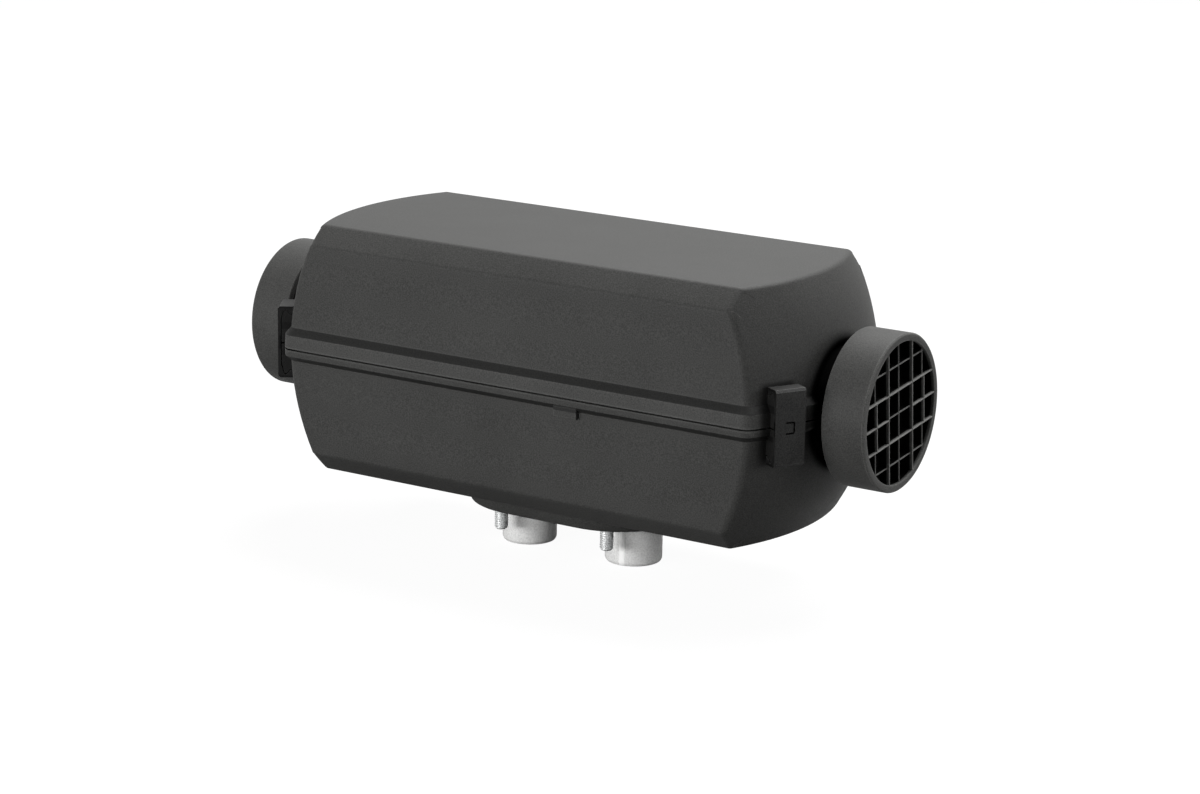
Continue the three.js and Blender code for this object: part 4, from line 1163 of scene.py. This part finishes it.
def casing_clip(name):
    half = CLIP_HEIGHT / 2
    chamfer = 1.0
    outer = [
        (-CLIP_DEPTH, -half),
        (-chamfer, -half),
        (0.0, chamfer - half),
        (0.0, half - chamfer),
        (-chamfer, half),
        (-CLIP_DEPTH, half),
    ]
    end = CLIP_LENGTH / 2
    body = prism("clip", outer, -end, end, "Y")
    cavity = prism("cavity", rail_outline(CLEARANCE, -CLIP_DEPTH - 1.0), -end - 1, end + 1, "Y")
    boolean(body, cavity)
    inner_end = TONGUE_END - TONGUE_SLOT
    u_shape = tongue_edge(TONGUE_END, TONGUE_HALF, 0.9, 5)
    inner = tongue_edge(inner_end, TONGUE_SLOT - TONGUE_HALF, 0.35, 4)
    boolean(body, prism("slot", u_shape + inner, -CLIP_PLATE - 1.5, 1.0, "X"))
    step = brick("step", (-0.12, TONGUE_START, -0.1), (1.0, inner_end, 0.1))
    boolean(body, step)
    bevel(body, 0.22, 2, 28.0)
    matrix = clip_matrix(name)
    matrix.translation = matrix.translation * MM
    moved(body, matrix)
    body.name = "clip_" + name + "_part"
    return dress(body, "clip", "clip_" + name, ("clip_" + name,))


# --- exchanger, gasket, studs

def cylinder(name, radius, low, high, centre, steps=64):
    """An upright cylinder, as a cutting tool or a pin."""
    return prism(name, circle(radius, steps, centre), low, high)


def stub(x, radius):
    """A cast stub: slightly tapered, with a rounded lower edge and a chamfered bore."""
    corners = [
        (STUB_BORE, -FOOT_DROP + 3.0, 0),
        (STUB_BORE + 0.1, -STUB_DROP + 0.8, 0.3),
        (STUB_BORE + 0.9, -STUB_DROP, 0.3),
        (radius - 0.6, -STUB_DROP, 0.6),
        (radius, -STUB_DROP + 1.2, 0.8),
        (radius + 0.05, -FOOT_DROP - 2.0, 1.0),
        (radius + 0.45, -FOOT_DROP + 1.0, 0),
    ]
    line = rounded(corners, arc_steps=4, spacing=30.0)
    return upright("stub", line, (x, 0.0), 96, 50.0)


def core():
    """The exchanger's closed body, with the flange that carries the burner."""
    corners = [
        (CORE_START, CORE_RADIUS - 4.0, 0),
        (CORE_START, CORE_FLANGE, 0.6),
        (CORE_START + FLANGE_THICKNESS, CORE_FLANGE, 0.6),
        (CORE_START + FLANGE_THICKNESS, CORE_RADIUS, 2.0),
        (CORE_END - 4.0, CORE_RADIUS, 5.0),
        (CORE_END + 2.5, CORE_RADIUS - 12.0, 10.0),
        (CORE_END + 5.0, 0.5, 0),
    ]
    outer = rounded(corners, arc_steps=6, spacing=20.0)
    line = outer + [(CORE_END, 0.5), (CORE_START + 50, CORE_RADIUS - 4.0)]
    return revolved("core", line, 120, 40.0)


def fin(index):
    """One cooling fin: drafted towards its tip, with rounded ends."""
    turn = 2 * math.pi * (index + 0.25) / FIN_COUNT
    across, along, up = math.sin(turn), math.cos(turn), CORE_RADIUS - 2.0
    facing_up = along > math.cos(math.radians(20))
    spans = [(FIN_START, CORE_END - 0.5)]
    if facing_up:
        spans = [(FIN_START, PAD_MIDDLE - PAD_HALF), (PAD_MIDDLE + PAD_HALF, CORE_END - 0.5)]
    pieces = []
    for x0, x1 in spans:
        points, root, tip = [], 1.25, 0.85
        ends = [(x0, up), (x0 + 1.5, FIN_TIP), (x1 - 5.0, FIN_TIP), (x1, up)]
        for side in (-1, 1):
            for x, radius in ends:
                half = side * (tip if radius > up else root)
                y = radius * -across + half * along
                z = radius * along + half * across
                points.append((x, y, z))
        faces = [(0, 1, 2, 3), (7, 6, 5, 4), (0, 4, 5, 1), (1, 5, 6, 2), (2, 6, 7, 3), (3, 7, 4, 0)]
        pieces.append(bevel(mesh_object("fin", points, faces), 0.35, 2))
    return pieces


def foot():
    """The flange under the core, with the two gas bores through it."""
    top = FOOT_PLATE - FOOT_DROP
    plate = bevel(prism("foot", oval(FOOT_INSET), -FOOT_DROP, top), 0.6, 3, 50.0)
    neck = brick(
        "neck",
        (FLANGE_SHIFT - NECK_HALF_LENGTH, -NECK_HALF_WIDTH, top - 1.0),
        (FLANGE_SHIFT + NECK_HALF_LENGTH, NECK_HALF_WIDTH, 4.0 - CORE_RADIUS),
    )
    bevel(neck, 3.0, 4)
    boolean(plate, neck, "UNION")
    boolean(plate, cylinder("bore", STUB_BORE, -70.0, -32.0, (EXHAUST_X, 0.0)))
    boolean(plate, cylinder("bore", STUB_BORE, -70.0, top - 2.0, (AIR_X, 0.0)))
    boolean(plate, cylinder("riser", 4.5, -70.0, -38.0, (AIR_X, 0.0), 32))
    shade(plate, 40.0)
    return plate


def heat_exchanger():
    pad = bevel(
        brick(
            "pad",
            (PAD_MIDDLE - PAD_HALF, -PAD_HALF_WIDTH, CORE_RADIUS - 2.0),
            (PAD_MIDDLE + PAD_HALF, PAD_HALF_WIDTH, PAD_HEIGHT),
        ),
        0.5,
        2,
    )
    fins = [piece for i in range(FIN_COUNT) for piece in fin(i)]
    parts = [core(), *fins, pad, foot(), stub(EXHAUST_X, EXHAUST_RADIUS), stub(AIR_X, AIR_RADIUS)]
    whole = join("heat_exchanger_casting", parts)
    return dress(whole, "cast_aluminium", replaced=("heat_exchanger",))


def stud_places():
    return [
        (FLANGE_SHIFT + along * STUD_ALONG, side * STUD_ACROSS)
        for along in (-1, 1)
        for side in (-1, 1)
    ]


def flange_gasket():
    """The sheet under the foot, with clear holes for all that passes through it."""
    sheet = prism("flange_gasket_sheet", oval(FOOT_INSET), -GASKET_DROP, -FOOT_DROP - CLEARANCE)
    holes = [((EXHAUST_X, 0.0), EXHAUST_RADIUS + 2 * CLEARANCE), ((AIR_X, 0.0), AIR_RADIUS + 2 * CLEARANCE)]
    holes += [(place, STUD_RADIUS + CLEARANCE) for place in stud_places()]
    holes.append(((FLANGE_SHIFT, FUEL_OFFSET), FUEL_RADIUS + 2 * CLEARANCE))
    for centre, radius in holes:
        boolean(sheet, cylinder("hole", radius, -80.0, -50.0, centre))
    bevel(sheet, 0.15, 2)
    return dress(sheet, "gasket", replaced=("flange_gasket",))


def stud(index, x, y):
    """A mounting stud with a real thread on the part that stands out of the flange."""
    segments, rows_per_turn = 40, 8
    depth = 0.6 * STUD_PITCH
    length = STUD_TOP + STUD_DROP
    rows = int(length / STUD_PITCH * rows_per_turn)
    points = []
    for i in range(rows + 1):
        z = -STUD_DROP + length * i / rows
        for j in range(segments):
            phase = (z / STUD_PITCH - j / segments) % 1.0
            groove = depth * max(0.0, 1 - abs(phase - 0.5) / 0.42)
            tip = max(0.0, 1.0 - (z + STUD_DROP) / 0.9)
            radius = min(STUD_RADIUS - groove, STUD_RADIUS - 0.95 * tip)
            points.append((*turned((x, y), radius, 2 * math.pi * j / segments), z))
    faces = grid_faces(rows + 1, segments, along=False)
    faces.append(tuple(range(segments)))
    faces.append(tuple(range(rows * segments, (rows + 1) * segments)))
    name = "mounting_stud_%d" % index
    return dress(mesh_object(name + "_part", points, faces, 60.0), "zinc_steel", replaced=(name,))


def studs():
    for i, (x, y) in enumerate(stud_places()):
        stud(i + 1, x, y)


# --- fuel pipe, gland, fan

def fuel_entry(radius, x=FUEL_X):
    """A place on the radial line along which the pipe enters the burner head."""
    turn = math.atan2(FUEL_OFFSET, -FUEL_LEVEL)
    return Vector((x, radius * math.sin(turn), -radius * math.cos(turn)))


def catmull(points, steps=10):
    """A smooth line through the points."""
    ends = [2 * points[0] - points[1], *points, 2 * points[-1] - points[-2]]
    line = []
    for a, b, c, d in zip(ends, ends[1:], ends[2:], ends[3:]):
        for i in range(steps):
            t = i / steps
            square = (2 * a - 5 * b + 4 * c - d) * t**2
            cube = (3 * b - a - 3 * c + d) * t**3
            line.append(0.5 * (2 * b + (c - a) * t + square + cube))
    return [*line, points[-1]]


def swept_tube(name, line, outer, inner, segments=24):
    """A tube along a line, with its section carried along without twist."""
    across = Vector((0.0, 1.0, 0.0))
    outside, inside = [], []
    for i, point in enumerate(line):
        ahead = line[min(i + 1, len(line) - 1)] - line[max(i - 1, 0)]
        tangent = ahead.normalized()
        across = (across - tangent * across.dot(tangent)).normalized()
        other = tangent.cross(across)
        spokes = [across * math.cos(turn) + other * math.sin(turn) for turn in full_turn(segments)]
        outside.append([point + spoke * outer for spoke in spokes])
        inside.insert(0, [point + spoke * inner for spoke in spokes])
    return grid(name, outside + inside, smooth_angle=50.0)


def fuel_pipe():
    route = [
        Vector((FLANGE_SHIFT, FUEL_OFFSET, -FUEL_DROP)),
        Vector((FLANGE_SHIFT, FUEL_OFFSET, -FOOT_DROP)),
        Vector((FLANGE_SHIFT, FUEL_OFFSET, FUEL_LEVEL - FUEL_BEND)),
        Vector((FLANGE_SHIFT - FUEL_BEND, FUEL_OFFSET, FUEL_LEVEL)),
        Vector((FUEL_X + 2 * FUEL_BEND, FUEL_OFFSET, FUEL_LEVEL)),
        fuel_entry(BURNER_RADIUS + 11.0, FUEL_X + FUEL_BEND / 2),
        fuel_entry(BURNER_RADIUS + 5.5),
        fuel_entry(BURNER_RADIUS + 1.0),
        fuel_entry(BURNER_RADIUS - 9.0),
    ]
    tube = swept_tube("fuel_pipe_tube", catmull(route), FUEL_RADIUS, FUEL_BORE)
    return dress(tube, "pipe_steel", replaced=("fuel_pipe",))


def cable_gland():
    """A rubber gland: two flanges on the wall and a soft sleeve outside."""
    wall = WALL_HALF_WIDTH - WALL_DRAFT * GLAND_DROP
    play = CLEARANCE + WALL_DRAFT * GLAND_RADIUS
    inner, outer = wall - SHELL_THICKNESS - play, wall + play
    flange = GLAND_RADIUS + 3.0
    corners = [
        (3.5, inner - 1.0, 0),
        (3.5, inner - 2.0, 0.3),
        (flange, inner - 2.0, 0.8),
        (flange, inner, 0.3),
        (GLAND_RADIUS - CLEARANCE, inner, 0.1),
        (GLAND_RADIUS - CLEARANCE, outer, 0.1),
        (flange, outer, 0.3),
        (flange - 0.8, outer + 2.0, 1.0),
        (6.0, outer + 2.2, 1.2),
        (5.3, outer + 5.0, 0.5),
        (3.5, outer + 5.0, 0.4),
        (3.5, inner - 1.0, 0),
    ]
    line = rounded(corners, arc_steps=4, spacing=20.0)[:-1]
    gland = upright("cable_gland_rubber", line, (0.0, 0.0), 64, 50.0)
    turn = Matrix.Rotation(math.radians(-90), 4, "X")
    moved(gland, Matrix.Translation(Vector((GLAND_X, 0, -GLAND_DROP)) * MM) @ turn)
    return dress(gland, "rubber", replaced=("cable_gland",))


def fan_blade(turn):
    """A cambered blade whose pitch eases off towards its tip."""
    chord_steps, span_steps = 10, 8
    rows = []
    for side in (-1, 1):
        for j in range(span_steps + 1):
            share = j / span_steps
            radius = FAN_HUB - 1.0 + (FAN_RADIUS - FAN_HUB + 0.6) * share
            pitch = math.radians(FAN_PITCH + 5.0 - 10.0 * share)
            chord = (FAN_WIDTH + 1.0) * (1.0 - 0.12 * share)
            row = []
            for i in range(chord_steps + 1):
                t = 2 * i / chord_steps - 1
                camber = 0.9 * (1 - t * t)
                half = 0.8 * math.sqrt(max(1 - abs(t) ** 3, 0.02))
                along = chord / 2 * t
                off = camber + side * half - 0.6
                x = along * math.cos(pitch) - off * math.sin(pitch)
                y = along * math.sin(pitch) + off * math.cos(pitch)
                bend = math.sqrt(max(radius * radius - y * y, 0.0))
                z = bend * math.cos(turn) - y * math.sin(turn)
                w = bend * math.sin(turn) + y * math.cos(turn)
                row.append((FAN_BACK + FAN_WIDTH / 2 + x, -w, z))
            rows.append(row)
    count = chord_steps + 1
    half_rows = span_steps + 1
    points = [p for row in rows for p in row]
    faces = grid_faces(half_rows, count, False, False)
    shift = half_rows * count
    faces += [tuple(corner + shift for corner in face) for face in faces]
    for j in (0, span_steps):
        for i in range(chord_steps):
            a, b = j * count + i, (half_rows + j) * count + i
            faces.append((a, a + 1, b + 1, b))
    for i in (0, chord_steps):
        for j in range(span_steps):
            a, b = j * count + i, (half_rows + j) * count + i
            faces.append((a, a + count, b + count, b))
    return mesh_object("blade", points, faces, 45.0)


def hot_air_fan():
    corners = [
        (FAN_BACK + 2.0, SHAFT_RADIUS + CLEARANCE, 0),
        (FAN_BACK, SHAFT_RADIUS + CLEARANCE, 0.2),
        (FAN_BACK, FAN_HUB - 4.0, 2.5),
        (FAN_BACK + 5.0, FAN_HUB, 4.0),
        (FAN_BACK + FAN_WIDTH, FAN_HUB, 0.4),
        (FAN_BACK + FAN_WIDTH, FAN_HUB - 1.6, 0.4),
        (FAN_BACK + 3.0, FAN_HUB - 3.4, 1.0),
        (FAN_BACK + 3.0, SHAFT_RADIUS + 3.0, 0.5),
        (FAN_BACK + FAN_WIDTH, SHAFT_RADIUS + 2.4, 0.4),
        (FAN_BACK + FAN_WIDTH, SHAFT_RADIUS + CLEARANCE, 0.2),
        (FAN_BACK + 2.0, SHAFT_RADIUS + CLEARANCE, 0),
    ]
    line = rounded(corners, arc_steps=4, spacing=20.0)[:-1]
    hub = revolved("hub", line, 72, 45.0)
    blades = [fan_blade(2 * math.pi * i / FAN_BLADES) for i in range(FAN_BLADES)]
    wheel = join("hot_air_fan_wheel", [hub, *blades])
    return dress(wheel, "fan_plastic", "rotor", ("hot_air_fan",))


# --- carried-over nodes

def dress_nodes():
    """Every CAD node that still shows gets its slot's material."""
    slots = {part["node"]: part["material_slot"] for part in frame["record"]["subparts"]}
    for name, obj in frame["nodes"].items():
        obj.data.materials.clear()
        obj.data.materials.append(MATERIALS[slots[name]])


# --- camera, light, floor

def camera():
    azimuth = math.radians(CAMERA_AZIMUTH)
    elevation = math.radians(CAMERA_ELEVATION)
    roll = math.radians(CAMERA_ROLL)
    back = Vector(
        (
            math.sin(azimuth) * math.cos(elevation),
            -math.cos(azimuth) * math.cos(elevation),
            math.sin(elevation),
        )
    )
    right = Vector((math.cos(azimuth), math.sin(azimuth), 0.0))
    up = back.cross(right)
    rolled_right = right * math.cos(roll) + up * math.sin(roll)
    rolled_up = up * math.cos(roll) - right * math.sin(roll)
    place = put(right * CAMERA_ACROSS + up * CAMERA_UP + back * CAMERA_DISTANCE)
    data = bpy.data.cameras.new("camera")
    data.lens = CAMERA_LENS
    data.sensor_width = SENSOR_WIDTH
    data.clip_end = 30.0
    made = linked("camera", data)
    columns = Matrix((rolled_right, rolled_up, back)).transposed().to_4x4()
    made.matrix_world = Matrix.Translation(place) @ columns
    bpy.context.scene.camera = made


def area_light(name, place, size, power):
    data = bpy.data.lights.new(name, "AREA")
    data.shape = "RECTANGLE"
    data.size, data.size_y = size
    data.energy = power
    made = linked(name, data)
    direction = Vector(LIGHT_TARGET) - Vector(place)
    made.location = place
    made.rotation_euler = direction.to_track_quat("-Z", "Y").to_euler()


def floor():
    size = 4.0
    mesh = bpy.data.meshes.new("floor")
    corners = [(-size, -size), (size, -size), (size, size), (-size, size)]
    mesh.from_pydata([(x, y, FLOOR_LEVEL) for x, y in corners], [], [(0, 1, 2, 3)])
    made = linked("floor", mesh)
    paper = material("floor_paper", (FLOOR_TINT,) * 3, 0.9)
    rays = node(paper, "ShaderNodeLightPath").outputs
    direct = math_node(paper, "MAXIMUM", rays["Is Camera Ray"], rays["Is Transmission Ray"])
    tint = map_range(paper, direct, 0.0, 1.0, FLOOR_BOUNCE, FLOOR_TINT)
    color = math_node(paper, "MULTIPLY_ADD", rays["Is Glossy Ray"], FLOOR_MIRROR, tint)
    fibres = noise(paper, place_coordinates(paper), 0.8, 3.0)
    finish(paper, color, None, bump(paper, fibres, 0.1, 0.02))
    glow = node(paper, "ShaderNodeEmission", Strength=FLOOR_GLOW)
    mix = node(paper, "ShaderNodeMixShader")
    link(paper, math_node(paper, "MULTIPLY", direct, FLOOR_SHARE), mix.inputs["Fac"])
    link(paper, principled(paper).outputs[0], mix.inputs[1])
    link(paper, glow.outputs[0], mix.inputs[2])
    link(paper, mix.outputs[0], paper.node_tree.nodes["Material Output"].inputs["Surface"])
    mesh.materials.append(paper)


def world():
    """White for camera, glossy and transmission rays, and a faint fill for all others."""
    made = bpy.data.worlds.new("studio")
    bpy.context.scene.world = made
    made.use_nodes = True
    background = made.node_tree.nodes["Background"]
    background.inputs["Color"].default_value = (1, 1, 1, 1)
    rays = node(made, "ShaderNodeLightPath").outputs
    bounced = math_node(made, "MAXIMUM", rays["Is Glossy Ray"], rays["Is Transmission Ray"])
    seen = math_node(made, "MAXIMUM", rays["Is Camera Ray"], bounced)
    level = map_range(made, seen, 0.0, 1.0, AMBIENT, 1.0)
    link(made, level, background.inputs["Strength"])


camera()
floor()
world()
for light in LIGHTS:
    area_light(*light)

dress_nodes()
upper_casing()
lower_casing()
duct_ring("outlet_ring", 1)
duct_ring("intake_ring", -1)
for clip_name in CLIPS:
    casing_clip(clip_name)
heat_exchanger()
flange_gasket()
studs()
fuel_pipe()
cable_gland()
hot_air_fan()

bpy.context.scene.view_settings.view_transform = "Standard"
